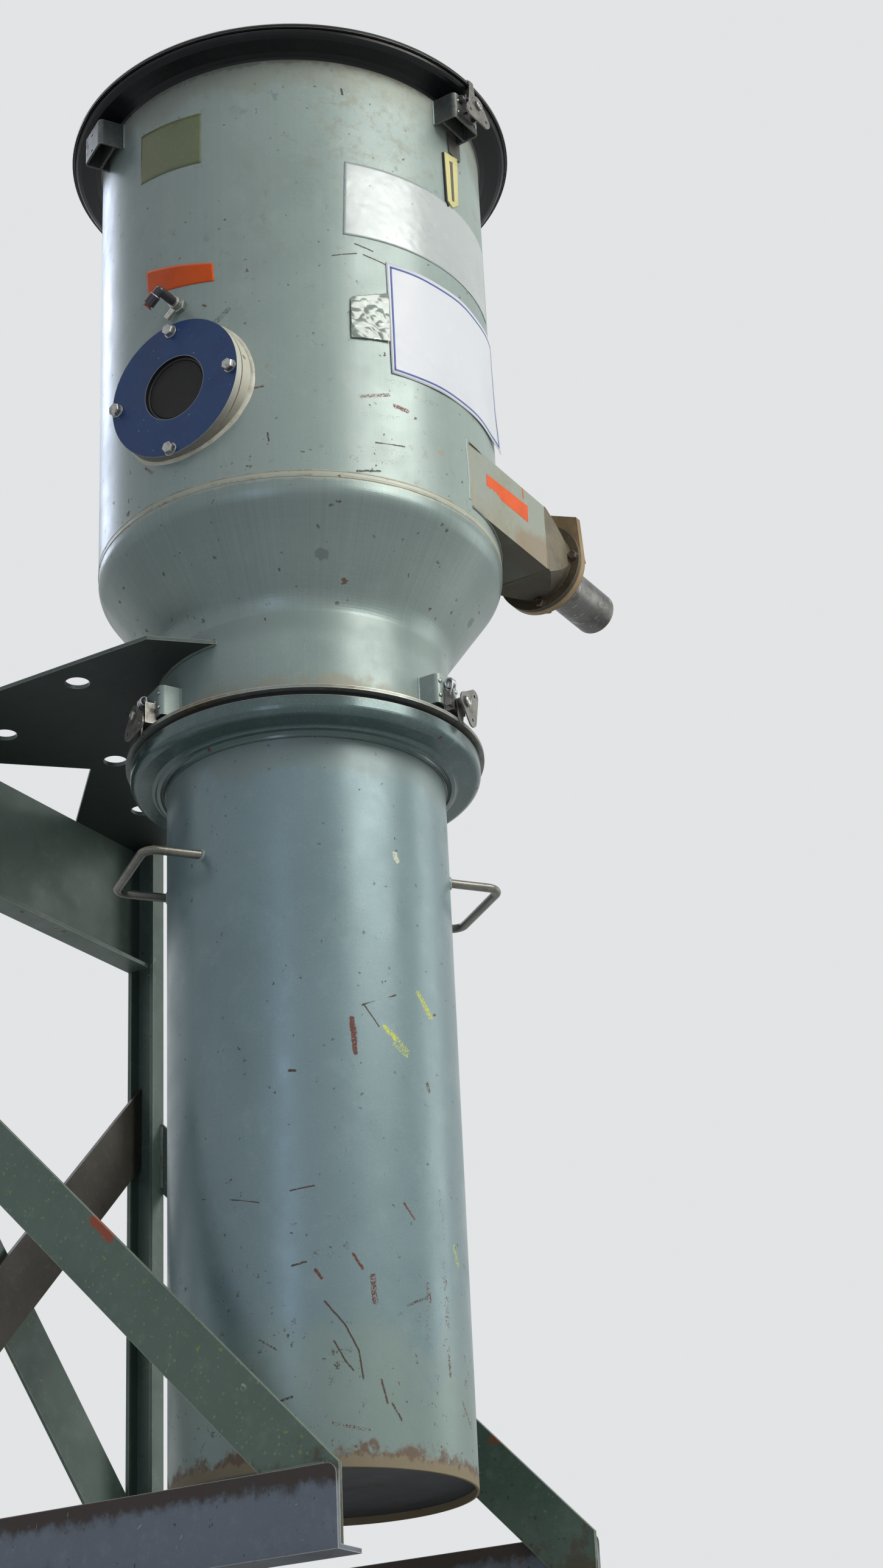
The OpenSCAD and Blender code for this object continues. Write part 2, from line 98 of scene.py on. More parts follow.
def placeAt(point, out):  # a frame at point whose Z looks along out
    z = Vector(out).normalized()
    x = Vector((0, 0, 1)).cross(z)
    if x.length < 1e-5:
        x = Vector((1, 0, 0)).cross(z)
    x.normalize()
    return Matrix.Translation(point) @ Matrix((x, z.cross(x), z)).transposed().to_4x4()


def circleAt(centre, normal, radius, count):
    place = placeAt(centre, normal)
    return [place @ Vector((x, y, 0)) for x, y in circle(radius, count)]


def hexagon(acrossFlats, turn=0):
    return [turned(acrossFlats / math.sqrt(3), math.radians(60 * k + turn)) for k in range(6)]


def show(name, data):  # an object of this data, in the scene
    made = bpy.data.objects.new(name, data)
    scene.collection.objects.link(made)
    return made


def meshFrom(name, build, settle=True):  # runs build on a bmesh and returns the mesh
    work = bmesh.new()
    build(work)
    if settle:
        bmesh.ops.recalc_face_normals(work, faces=work.faces)
    mesh = bpy.data.meshes.new(name)
    work.to_mesh(mesh)
    work.free()
    return mesh


def addPiece(name, coat, build, sharp=None):  # sharp: the angle past which an edge shades hard
    mesh = meshFrom(name, build)
    for face in mesh.polygons:
        face.use_smooth = True
    if sharp:
        mesh.set_sharp_from_angle(angle=math.radians(sharp))
    mesh.materials.append(coats[coat])
    piece = show(name, mesh)
    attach(piece, "root")


def joinRings(work, rings):  # faces between neighbouring rings of verts; a ring of one is a tip
    for a, b in zip(rings, rings[1:]):
        steps = max(len(a), len(b))
        for i in range(steps):
            j = (i + 1) % steps
            corners = [a[i % len(a)], a[j % len(a)], b[j % len(b)], b[i % len(b)]]
            work.faces.new(list(dict.fromkeys(corners)))


def lathe(work, profile, place, steps):  # turns (radius, height) points about place's Z
    rings = []
    for radius, height in profile:
        spots = circle(radius, steps) if radius > 1e-6 else [(0, 0)]
        rings.append([work.verts.new(place @ Vector((x, y, height))) for x, y in spots])
    joinRings(work, rings)


def stack(work, outline, levels, place, bevel=0.0):  # an outline pushed up through (scale, height) levels
    rings = [[work.verts.new(place @ Vector((x * scale, y * scale, height))) for x, y in outline]
             for scale, height in levels]
    ends = [work.faces.new(list(reversed(rings[0]))), work.faces.new(rings[-1])]
    joinRings(work, rings)
    if bevel:
        around = list({edge for end in ends for edge in end.edges})
        bmesh.ops.bevel(work, geom=around, offset=bevel, segments=2, affect="EDGES", profile=0.5)


def sweepTube(work, points, radii, sides=8, closed=False, flatten=1.0, normals=None):
    # a tube along points; normals gives the direction that is flattened
    count = len(points)
    rings = []
    up = None
    for i in range(count):
        before = points[i - 1] if (i > 0 or closed) else points[i]
        after = points[(i + 1) % count] if (i < count - 1 or closed) else points[i]
        along = (after - before).normalized()
        guess = normals[i] if normals else up or Vector((0, 0, 1) if abs(along.z) < 0.9 else (1, 0, 0))
        up = (guess - along * guess.dot(along)).normalized()
        across = along.cross(up)
        r = radii[i] if isinstance(radii, list) else radii
        rings.append([work.verts.new(points[i] + up * r * flatten * y + across * r * x)
                      for x, y in circle(1, sides)])
    joinRings(work, rings + rings[:1] if closed else rings)
    if not closed:
        work.faces.new(list(reversed(rings[0])))
        work.faces.new(rings[-1])


def resample(points, step, closed=False):  # evenly spaced points along a polyline
    line = list(points) + ([points[0]] if closed else [])
    lengths = [0.0]
    for a, b in zip(line, line[1:]):
        lengths.append(lengths[-1] + (b - a).length)
    count = max(2, int(lengths[-1] / step))
    out, j = [], 0
    for i in range(count if closed else count + 1):
        want = lengths[-1] * i / count
        while j < len(line) - 2 and lengths[j + 1] < want:
            j += 1
        span = max(lengths[j + 1] - lengths[j], 1e-9)
        out.append(line[j].lerp(line[j + 1], min(1, (want - lengths[j]) / span)))
    return out


def feed(node, feeds):  # gives a node's sockets values or links
    for name, value in feeds.items():
        if isinstance(value, bpy.types.NodeSocket):
            node.id_data.links.new(value, node.inputs[name])
        else:
            node.inputs[name].default_value = value
    return node


def put(tree, kind, settings=None, feeds=None):  # one node and its output sockets
    made = tree.nodes.new("ShaderNode" + kind)
    for name, value in (settings or {}).items():
        setattr(made, name, value)
    return feed(made, feeds or {}).outputs


def treeOf(values):  # the node tree that holds the sockets among these values
    return next(value.id_data for value in values if isinstance(value, bpy.types.NodeSocket))


def calc(operation, *values, clamp=False):
    settings = {"operation": operation, "use_clamp": clamp}
    return put(treeOf(values), "Math", settings, dict(enumerate(values)))[0]


def times(a, b):
    return calc("MULTIPLY", a, b)


def plus(a, b):
    return calc("ADD", a, b)


def less(a, b):
    return calc("SUBTRACT", a, b)


def vectorCalc(operation, *values, output=0):
    return put(treeOf(values), "VectorMath", {"operation": operation}, dict(enumerate(values)))[output]


def dot(a, b):
    return vectorCalc("DOT_PRODUCT", a, b, output=1)


def scaled(vector, factor):
    return put(vector.id_data, "VectorMath", {"operation": "SCALE"}, {0: vector, "Scale": factor})[0]


def centred(colour):  # a noise's colour as a push that is nothing on average
    return vectorCalc("SUBTRACT", colour, (0.5, 0.5, 0.5))


def mixColour(mask, a, b):
    return put(mask.id_data, "Mix", {"data_type": "RGBA"}, {0: mask, 6: a, 7: b})[2]


def mixValue(mask, a, b):
    return put(mask.id_data, "Mix", {"data_type": "FLOAT"}, {0: mask, 2: a, 3: b})[0]


def smooth(value, start, end, kind="SMOOTHSTEP"):  # 0 at start to 1 at end
    return put(value.id_data, "MapRange", {"interpolation_type": kind},
               {"Value": value, "From Min": start, "From Max": end})[0]


def noise(vector, scale, detail=3.0, rough=0.55, distort=0.0, output=0):
    return put(vector.id_data, "TexNoise", {}, {"Vector": vector, "Scale": scale, "Detail": detail,
                                                "Roughness": rough, "Distortion": distort})[output]


def objectPoint(tree):
    return put(tree, "TexCoord")["Object"]


def stretched(tree, take):  # the object point, stretched and shifted as a group's inputs say
    return vectorCalc("ADD", vectorCalc("MULTIPLY", objectPoint(tree), take["Stretch"]), take["Shift"])


effects = {}


def effect(title, gives="Mask", **takes):
    # makes a shader group of the function below it, which returns the socket that the group gives;
    # the name then stands for a maker of layers: the group's inputs in order, colour, roughness, strength
    def build(fill):
        group = bpy.data.node_groups.new(title, "ShaderNodeTree")
        for label, value in takes.items():
            kind = {list: "Color", tuple: "Vector"}.get(type(value), "Float")
            socket = group.interface.new_socket(label, in_out="INPUT", socket_type="NodeSocket" + kind)
            socket.default_value = value
        group.interface.new_socket(gives, in_out="OUTPUT",
                                   socket_type="NodeSocketFloat" if gives == "Mask" else "NodeSocketColor")
        made = fill(group, group.nodes.new("NodeGroupInput").outputs)
        group.links.new(made, group.nodes.new("NodeGroupOutput").inputs[0])
        effects[title] = group

        def layer(values, colour=None, rough=None, strength=1.0, **more):
            return {"effect": title, "values": dict(zip(takes, values)), "colour": colour, "rough": rough,
                    "strength": strength, **more}

        return layer
    return build


# an uneven coat of paint: two shades that drift into each other, and a fine hammered grain
@effect("uneven coat", "Colour", Base=tint("8C9E9A"), Shade=tint("6F827F"), Light=tint("A9BAB5"), Scale=3.0,
        Amount=0.6, Grain=0.2)
def unevenCoat(group, take):
    at = objectPoint(group)
    wide = noise(at, take["Scale"], 5, 0.6, 0.4)
    close = noise(at, times(take["Scale"], 9), 4, 0.65)
    grain = noise(at, 420, 2, 0.6)
    colour = mixColour(times(smooth(wide, 0.46, 0.68), take["Amount"]), take["Base"], take["Shade"])
    bright = times(smooth(close, 0.5, 0.75), take["Amount"])
    colour = mixColour(times(bright, 0.5), colour, take["Light"])
    return mixColour(times(smooth(grain, 0.5, 0.7), take["Grain"]), colour, take["Light"])


# round and ragged specks: chips, splashes and fly rust
@effect("specks", Scale=40.0, Size=0.3, Amount=0.3, Ragged=0.3)
def specks(group, take):
    at = objectPoint(group)
    push = centred(noise(at, times(take["Scale"], 3), 3, output="Color"))
    push = scaled(push, calc("DIVIDE", take["Ragged"], take["Scale"]))
    cells = put(group, "TexVoronoi", {}, {"Vector": vectorCalc("ADD", at, push), "Scale": take["Scale"]})
    parts = put(group, "SeparateColor", {}, {"Color": cells["Color"]})
    size = times(take["Size"], parts[0])
    chosen = calc("LESS_THAN", parts[1], take["Amount"])
    return times(smooth(cells["Distance"], size, times(size, 0.75)), chosen)


# thin curved scratches, broken into short lengths
@effect("scratches", Scale=8.0, Width=0.004, Amount=0.3, Shift=0.0, Stretch=(1, 1, 1))
def scratches(group, take):
    at = stretched(group, take)
    line = calc("ABSOLUTE", less(noise(at, take["Scale"], 1.2, 0.5, 0.3), 0.5))
    gaps = noise(vectorCalc("ADD", at, (7.3, 2.1, 4.7)), times(take["Scale"], 2.3), 3, 0.6)
    edge = less(0.72, times(take["Amount"], 0.4))
    return times(smooth(line, take["Width"], 0.0), smooth(gaps, edge, plus(edge, 0.03)))


# paint rubbed off along edges
@effect("edge wear", Radius=0.003, Scale=60.0, Amount=0.6)
def edges(group, take):
    rounded = put(group, "Bevel", {"samples": 4}, {"Radius": take["Radius"]})[0]
    turn = less(1.0, dot(rounded, put(group, "NewGeometry")["True Normal"]))
    patchy = less(noise(objectPoint(group), take["Scale"], 4, 0.65), 0.5)
    start = less(0.3, times(take["Amount"], 0.28))
    worn = smooth(plus(turn, times(patchy, 0.3)), start, plus(start, 0.1))
    return times(worn, calc("GREATER_THAN", turn, 0.004))


# a stain that is full at one height and fades out by another, with a ragged front
@effect("height band", Full=0.0, Gone=0.1, Scale=25.0, Ragged=0.6)
def band(group, take):
    at = objectPoint(group)
    part = smooth(put(group, "SeparateXYZ", {}, {0: at})[2], take["Gone"], take["Full"], "LINEAR")
    rough = less(noise(vectorCalc("MULTIPLY", at, (1, 1, 0.8)), take["Scale"], 6, 0.68), 0.5)
    level = plus(part, times(rough, times(take["Ragged"], 2.2)))
    return times(smooth(level, 0.38, 0.72), smooth(part, 0.0, 0.06))


# broad patches of stain anywhere on a piece
@effect("stain patches", Scale=6.0, Amount=0.4, Soft=0.12, Shift=0.0, Stretch=(1, 1, 1))
def patches(group, take):
    cloud = noise(stretched(group, take), take["Scale"], 7, 0.66, 0.3)
    start = less(0.74, times(take["Amount"], 0.42))
    return smooth(cloud, start, plus(start, take["Soft"]))


# fine lines round the vessel (spun) or up it (brushed), by the wall's angle and height
@effect("wall lines", Round=300.0, Up=4.0, Contrast=1.0)
def lines(group, take):
    at = put(group, "SeparateXYZ", {}, {0: objectPoint(group)})
    angle = calc("ARCTAN2", at[0], times(at[1], -1))
    flat = put(group, "CombineXYZ", {}, {0: times(angle, take["Round"]), 1: times(at[2], take["Up"])})[0]
    return calc("ADD", times(less(noise(flat, 1.0, 3, 0.6), 0.5), take["Contrast"]), 0.5, clamp=True)


# one drawn or rubbed stroke between two points; Push and Grain come from noises that all strokes share
@effect("stroke", Start=(0, 0, 0), End=(0, 0, 0.1), Width=0.01, Cover=0.6, Ragged=0.4, Push=(0, 0, 0),
        Grain=0.5)
def stroke(group, take):
    push = scaled(take["Push"], times(times(take["Ragged"], take["Width"]), 3.0))
    offset = vectorCalc("SUBTRACT", vectorCalc("ADD", objectPoint(group), push), take["Start"])
    along = vectorCalc("SUBTRACT", take["End"], take["Start"])
    part = calc("DIVIDE", dot(offset, along), dot(along, along), clamp=True)
    away = vectorCalc("LENGTH", vectorCalc("SUBTRACT", offset, scaled(along, part)), output=1)
    edge = less(0.75, times(take["Cover"], 0.5))
    return times(smooth(away, take["Width"], times(take["Width"], 0.55)),
                 smooth(take["Grain"], edge, plus(edge, 0.08)))


# which way the surface looks: one on faces within a few degrees of a direction
@effect("faces looking", Way=(0, 0, 1), From=0.6, To=0.9)
def facing(group, take):
    return smooth(dot(put(group, "NewGeometry")["True Normal"], take["Way"]), take["From"], take["To"])


# a disc or tube about a line: one inside Near, gone by Far; Axes drops the direction along the line
@effect("round zone", Centre=(0, 0, 0), Near=0.01, Far=0.012, Axes=(1, 1, 1), Ragged=0.0, Scale=90.0)
def zone(group, take):
    at = objectPoint(group)
    away = vectorCalc("MULTIPLY", vectorCalc("SUBTRACT", at, take["Centre"]), take["Axes"])
    sway = times(less(noise(at, take["Scale"], 4, 0.65), 0.5), take["Ragged"])
    return smooth(plus(vectorCalc("LENGTH", away, output=1), sway), take["Far"], take["Near"])


print("shader groups built:", len(effects))

looks = {}
lookDefaults = dict(toneScale=3, toneAmount=0.6, grain=0.15, glossScale=14, glossSpread=0.14, bumpScale=260,
                    bump=0.2, bumpStrength=0.5, bumpDistance=0.0006, dent=0, dentScale=5, strokeScale=90,
                    metal=0, coat=0, coatRough=0.1, specular=0.5)


def addLook(name, colours, like=None, layers=(), **values):
    # colours are the base, the shade and the light; like is a look whose other values hold here too
    looks[name] = {**lookDefaults, **(like or {}), **values, "colours": colours.split(), "layers": layers}


def marksOn(radius, marks):
    # strokes on a round wall: angle and height of both ends, width, cover, and the paint
    return [stroke((onWall(a, radius, z), onWall(b, radius, t), width, cover, 0.35), **paint)
            for a, z, b, t, width, cover, paint in marks]


greyGreen = dict(toneScale=2.6, toneAmount=0.5, grain=0.22, rough=0.36, glossSpread=0.16, metal=0.14,
                 bump=0.25, dent=1, dentScale=4.5)
standGreen = dict(toneScale=5, toneAmount=0.7, rough=0.46, glossSpread=0.18, metal=0.12, bump=0.5,
                  bumpScale=180)
darkScratch = dict(colour="3B3A36", rough=0.6, height=-0.6)
paleScratch = dict(colour="C9D3CD", rough=0.5, height=-0.3)
flyRust = dict(colour="5E3C26", rough=0.75, height=0.3)

# the scratches, rubs and drawn lines on the chamber and the can, placed as they are on the real one
thin = dict(colour="3F3A36", rough=0.6, height=-0.4)
red = dict(colour="6E4640", rough=0.6)
smudge = dict(colour="5E6661", rough=0.6)
chamberMarks = [
    (-135.5, 1.742, -128.5, 1.752, 0.0013, 0.85, thin), (-126.5, 1.752, -119.9, 1.744, 0.0014, 0.9, thin),
    (-128.8, 1.769, -123.5, 1.762, 0.0015, 0.8, thin), (-131.3, 2.056, -131.0, 2.046, 0.0022, 0.95, thin),
    (-165.5, 1.508, -155.5, 1.513, 0.0022, 0.75, red), (-164.5, 1.512, -162.5, 1.506, 0.0024, 0.8, red),
    (-168.5, 1.64, -165.0, 1.655, 0.0052, 0.55, smudge), (-128.5, 1.5, -120.5, 1.512, 0.0035, 0.6, red),
    (-118.6, 1.496, -114.6, 1.493, 0.0042, 0.7, red), (-125.0, 1.425, -116.2, 1.43, 0.0016, 0.75, thin),
    (-130.5, 1.372, -124.0, 1.378, 0.0022, 0.7, thin), (-128.2, 1.47, -117.8, 1.477, 0.0046, 0.35, red),
    (-125.2, 1.415, -115.9, 1.417, 0.006, 0.32, red), (-125.4, 1.394, -118.5, 1.398, 0.005, 0.35, red),
    (-135.1, 1.396, -130.8, 1.394, 0.005, 0.35, red), (-120.9, 1.538, -115.4, 1.539, 0.005, 0.35, smudge),
    (-109.8, 1.52, -104.1, 1.527, 0.0045, 0.4, smudge), (-133.5, 2.04, -129.0, 2.058, 0.005, 0.35, thin),
    (-154.5, 1.433, -154.2, 1.42, 0.0018, 0.7, thin), (166.5, 1.438, 169.5, 1.421, 0.0028, 0.6, red),
]
yellow = dict(colour="C9CF3A", rough=0.6)
brown = dict(colour="6B4038", rough=0.7, height=0.2)
pencil = dict(colour="4A3B33", rough=0.65)
rust = dict(colour="6A4030", rough=0.75, height=0.2)
chip = dict(colour="C9C9B4", rough=0.6)
canMarks = [
    (-118, 0.573, -113, 0.558, 0.0048, 0.62, yellow), (-115, 0.566, -107.8, 0.545, 0.0052, 0.5, yellow),
    (-113.9, 0.551, -108.5, 0.538, 0.004, 0.5, yellow), (-101, 0.634, -93.4, 0.606, 0.0045, 0.6, yellow),
    (-99, 0.622, -95, 0.604, 0.004, 0.5, yellow), (-84, 0.292, -81.5, 0.272, 0.006, 0.5, yellow),
    (-131.4, 0.581, -130.4, 0.532, 0.0044, 0.8, brown), (-131, 0.57, -130.6, 0.55, 0.0056, 0.7, brown),
    (-127, 0.601, -112.5, 0.622, 0.0016, 0.9, pencil),
    (-126.5, 0.602, -120.5, 0.573, 0.0014, 0.85, pencil),
    (-144.5, 0.198, -137.4, 0.168, 0.0016, 0.9, pencil),
    (-137.4, 0.168, -132.6, 0.135, 0.0016, 0.9, pencil), (-132.6, 0.135, -131.3, 0.1, 0.0015, 0.9, pencil),
    (-141.5, 0.147, -137.5, 0.121, 0.0014, 0.85, pencil),
    (-137.5, 0.121, -134.8, 0.11, 0.0014, 0.85, pencil), (166, 0.356, -178, 0.343, 0.0011, 0.8, pencil),
    (-178, 0.343, -168, 0.334, 0.0011, 0.8, pencil), (-156, 0.345, -147, 0.35, 0.0014, 0.85, pencil),
    (-155.4, 0.5085, -153.4, 0.5075, 0.0024, 0.95, pencil),
    (-133.6, 0.259, -130.3, 0.241, 0.0026, 0.75, rust), (-126.5, 0.232, -125.9, 0.199, 0.005, 0.6, rust),
    (-112.4, 0.333, -107.9, 0.314, 0.0022, 0.75, rust), (-92.7, 0.266, -91.5, 0.182, 0.006, 0.4, rust),
    (-93.2, 0.361, -91.5, 0.299, 0.0056, 0.35, rust), (-102.5, 0.231, -101.7, 0.209, 0.0042, 0.5, rust),
    (-82.6, 0.088, -75.4, 0.06, 0.003, 0.55, rust), (-91.9, 0.143, -91.5, 0.117, 0.003, 0.6, rust),
    (-112.4, 0.198, -102.8, 0.213, 0.0022, 0.6, pencil), (-147.5, 0.239, -145.3, 0.228, 0.0028, 0.8, rust),
    (-124.5, 0.099, -122.4, 0.07, 0.0018, 0.7, pencil), (-120.5, 0.07, -117.0, 0.05, 0.0018, 0.7, pencil),
    (-162.6, 0.073, -156.9, 0.079, 0.002, 0.7, pencil),
    (-155.9, 0.246, -150.8, 0.25, 0.0018, 0.75, pencil),
    (-168.7, 0.155, -162.3, 0.14, 0.0016, 0.6, pencil), (-142.4, 0.044, -129.9, 0.035, 0.003, 0.5, rust),
    (-97.9, 0.506, -97.2, 0.498, 0.0044, 0.6, rust), (-102.9, 0.218, -103.9, 0.156, 0.004, 0.4, rust),
    (-70.5, 0.925, -68.5, 0.905, 0.0075, 0.45, rust), (-110.2, 0.832, -109.3, 0.822, 0.0052, 0.7, chip),
]

addLook("lid_paint", "0F1113 090A0C 222326", toneScale=5, grain=0.12, rough=0.3, glossSpread=0.2,
        specular=0.25, bump=0.3, dent=1, layers=[
    facing(((0, 0, 1), 0.5, 0.95), "4B4A45", 0.75, 0.35),
    patches((8, 0.26, 0.2), "36332E", 0.55, 0.6),
    scratches((12, 0.003, 0.14), "6A6B69", 0.5, 0.6),
    edges((0.002, 24, 0.62), "8E8B84", 0.4, metal=0.7)])
addLook("gasket", "17181A 0F1011 2A2B2C", toneScale=12, rough=0.72, bump=0.5, layers=[
    patches((16, 0.3), "3A3833", 0.85, 0.5)])
addLook("rim_paint", "101214 090A0C 222326", like=looks["lid_paint"], layers=[
    patches((7, 0.3, 0.25), "2E2C28", 0.6, 0.6),
    edges((0.0018, 22, 0.45), "77746C", 0.45, metal=0.6)])
addLook("vessel_paint", "96A6A2 7A8C89 B0BDB6", like=greyGreen, strokeScale=160, layers=[
    lines((40, 0.8, 1.4), "82918B", strength=0.3),
    patches((3.2, 0.36, 0.2, 0, (1, 1, 0.5)), "868B7A", 0.46, 0.6),
    patches((8, 0.24, 0.16, 9, (1, 1, 0.35)), "A3A28E", 0.5, 0.5),
    band((2.112, 1.99, 14, 0.55), "8B8672", 0.55, 0.4),
    # darker just under the rim: dirt there, and painted shade of the rim's overhang
    band((2.112, 2.085, 40, 0.6), "5C5546", 0.6, 0.55),
    band((1.362, 1.376, 60, 0.3), "B9B6A2", 0.5, 0.6),
    scratches((5, 0.0012, 0.1, 0, (1, 1, 0.7)), strength=0.8, **darkScratch),
    scratches((17, 0.003, 0.05, 3.1), **darkScratch),
    scratches((9, 0.003, 0.14, 8.4), strength=0.5, **paleScratch),
    specks((46, 0.16, 0.14, 0.9), strength=0.8, **flyRust),
    patches((34, 0.34, 0.1, 5.5), "7A7A6A", 0.5, 0.35),
    patches((48, 0.62, 0.16, 1.2), "7F7A60", 0.55, 0.45,
            within=zone((onWall(-121, wallR, 1.985), 0.02, 0.2, (1, 1, 1), 0.2, 12))),
    specks((19, 0.22, 0.34, 1.8), "5F6E6A", 0.5, 0.4),
    specks((30, 0.24, 0.06, 0.5), "9A8C70", 0.5, 0.7),
    specks((105, 0.24, 0.14, 0.8), strength=0.7, **darkScratch),
    specks((120, 0.3, 0.3, 1), strength=0.9, within=band((1.36, 1.46, 18, 0.9)), **flyRust),
    edges((0.002, 70, 0.35), "6B5B49", 0.6),
] + marksOn(wallR, chamberMarks))
# the chamber's paint set darker on the cone, painted shade for a surface that faces down; darker still just
# below the seam
addLook("cone_paint", "7D8D89 6A7A77 98A6A1", like=greyGreen, metal=0.3, layers=[
    band((1.36, 1.2, 8, 0.2), "6C7C7A", strength=0.55),
    lines((190, 3.5, 1.8), "A9B7B3", strength=0.24, height=0.5),
    lines((2.5, 420, 1.6), "9DABA7", strength=0.2, height=0.3),
    lines((55, 1.2, 1.6), "6D7E7C", strength=0.3),
    band((1.362, 1.345, 60, 0.5), "A8AB9E", 0.5, 0.5),
    patches((7, 0.2, 0.16, 2), "6F6A58", 0.6, 0.4),
    specks((34, 0.2, 0.2, 0.7), strength=0.8, **flyRust),
    specks((17, 0.24, 0.24, 0.35), "59615C", 0.5, 0.55),
    specks((75, 0.26, 0.24, 0.8), strength=0.7, **darkScratch),
    scratches((8, 0.003, 0.1), strength=0.8, **darkScratch)])
addLook("neck_paint", "8E9F9B 7A8C89 AEBBB5", like=greyGreen, layers=[
    # the neck's top fades into the cone's darker colour, the same painted shade
    band((1.2, 1.11, 8, 0.2), "7D8D89", strength=0.8),
    lines((60, 1.4, 1.6), "7E8F8A", strength=0.3),
    band((1.05, 1.12, 22, 0.7), "9A8D6E", 0.6, 0.5),
    stroke(((0.045, -0.211, 1.12), (0.012, -0.215, 1.058), 0.035, 0.9), "7E5A3C", 0.7, 0.65),
    stroke(((-0.05, -0.209, 1.06), (-0.11, -0.184, 1.056), 0.016, 0.8), "7E5A3C", 0.7, 0.5),
    specks((40, 0.2, 0.15, 0.7), **flyRust)])
addLook("flange_steel", "7C8482 6A5B48 A9AC9F", toneScale=9, toneAmount=0.8, rough=0.42, metal=0.55, bump=0.4,
        layers=[
    patches((14, 0.42, 0.15), "6B4A31", 0.75, 0.7, metal=0),
    edges((0.0022, 26, 0.8), "B7B1A0", 0.35, metal=0.9)])
addLook("rolled_rim_paint", "4E6060 3E4D4E 7C8D8A", like=greyGreen, rough=0.22, metal=0.42, layers=[
    patches((9, 0.3, 0.2), "566062", 0.45, 0.5),
    specks((44, 0.22, 0.2, 0.7), strength=0.8, **flyRust),
    edges((0.0022, 30, 0.55), "A39A86", 0.4, metal=0.6)])
addLook("can_paint", "788F95 677E84 97AAAF", like=greyGreen, rough=0.33, metal=0.2, strokeScale=150, layers=[
    lines((30, 0.5, 1.3), "768985", strength=0.25),
    patches((4, 0.3, 0.25, 5), "8FA39A", 0.45, 0.4),
    band((0, 0.34, 9, 0.5), "8E9C8A", 0.5, 0.4),
    scratches((7, 0.0016, 0.1), **darkScratch),
    scratches((22, 0.005, 0.08, 2.2), strength=0.9, **darkScratch),
    scratches((14, 0.005, 0.16, 6), strength=0.9, within=band((0, 0.42, 12, 0.8)), **flyRust),
    specks((44, 0.16, 0.1, 1.3), strength=0.85, **flyRust),
    specks((120, 0.28, 0.1, 1.3), strength=0.8, **darkScratch),
    specks((70, 0.3, 0.42, 2.2), "51473C", 0.7, 0.85, height=-0.5, within=band((0.02, 0.46, 16, 0.9))),
    band((-0.006, 0.036, 44, 0.9), "6E4E38", 0.75, 0.8, metal=0, height=0.3),
    band((-0.006, 0.016, 80, 0.8), "9A8F74", 0.8, 0.75, metal=0),
    band((0.995, 0.9, 16, 0.7), "7E8479", 0.5, 0.4),
    edges((0.0025, 60, 0.5), "5B4030", 0.75, metal=0),
] + marksOn(canR, canMarks))
addLook("can_underside", "26282A 17181A 3B3C3A", toneScale=7, rough=0.55, metal=0.2, bump=0.5, layers=[
    patches((10, 0.4), "3D2E22", 0.8, 0.7)])
addLook("handle_steel", "77766F 55534B A2A198", toneScale=14, toneAmount=0.7, rough=0.38, metal=0.75,
        bump=0.35, layers=[
    patches((24, 0.34, 0.2), "5A4633", 0.7, 0.6, metal=0.1),
    scratches((40, 0.01, 0.2), "BDBBB2", 0.3, 0.7)])
addLook("bracket_paint", "8C9B97 7A8C89 B9C2BB", like=greyGreen, rough=0.4, dent=0, layers=[
    patches((22, 0.34, 0.16), "6A6A5E", 0.6, 0.6),
    specks((90, 0.25, 0.25, 0.7), **flyRust),
    edges((0.0022, 60, 0.6), "B9B6A6", 0.4, metal=0.5)])
# the lid brackets are darker than the neck brackets, partly painted shade
addLook("lid_bracket", "555A59 3B3E3E 7E8280", toneScale=16, toneAmount=0.8, rough=0.42, metal=0.35, bump=0.4,
        layers=[
    # painted shade: faces that look down are darkened
    facing(((0, 0, -1), 0.3, 0.9), "2A2622", 0.7, 0.7),
    patches((26, 0.4, 0.14), "4A3A2D", 0.7, 0.6),
    scratches((50, 0.01, 0.2), "A5A7A3", 0.4, 0.7),
    edges((0.0022, 60, 0.6), "B5B3A8", 0.4, metal=0.6)])
addLook("latch_steel", "7A7975 4F4B46 A2A19C", toneScale=22, toneAmount=0.7, grain=0.1, rough=0.44,
        glossSpread=0.22, metal=0.8, bump=0.25, layers=[
    patches((34, 0.55, 0.2), "433B33", 0.6, 0.8, metal=0.4),
    specks((150, 0.3, 0.25), "54341F", 0.8, 0.8, metal=0),
    edges((0.0012, 90, 0.6), "C4C3BE", 0.3, metal=0.95)])
addLook("stub_paint", "C6C5B6 A9A797 DAD9CC", toneScale=10, rough=0.45, bump=0.4, layers=[
    patches((14, 0.32, 0.2), "8A8571", 0.65, 0.55),
    # painted shade: faces that look down are darkened
    facing(((0, 0, -1), 0, 0.85), "4A4334", 0.75, 0.8),
    specks((60, 0.3, 0.3), strength=0.7, **flyRust),
    edges((0.0015, 60, 0.4), "7A6A52", 0.6)])
addLook("port_gasket", "5A2018 3E1712 74352A", toneScale=20, rough=0.75, bump=0.4)
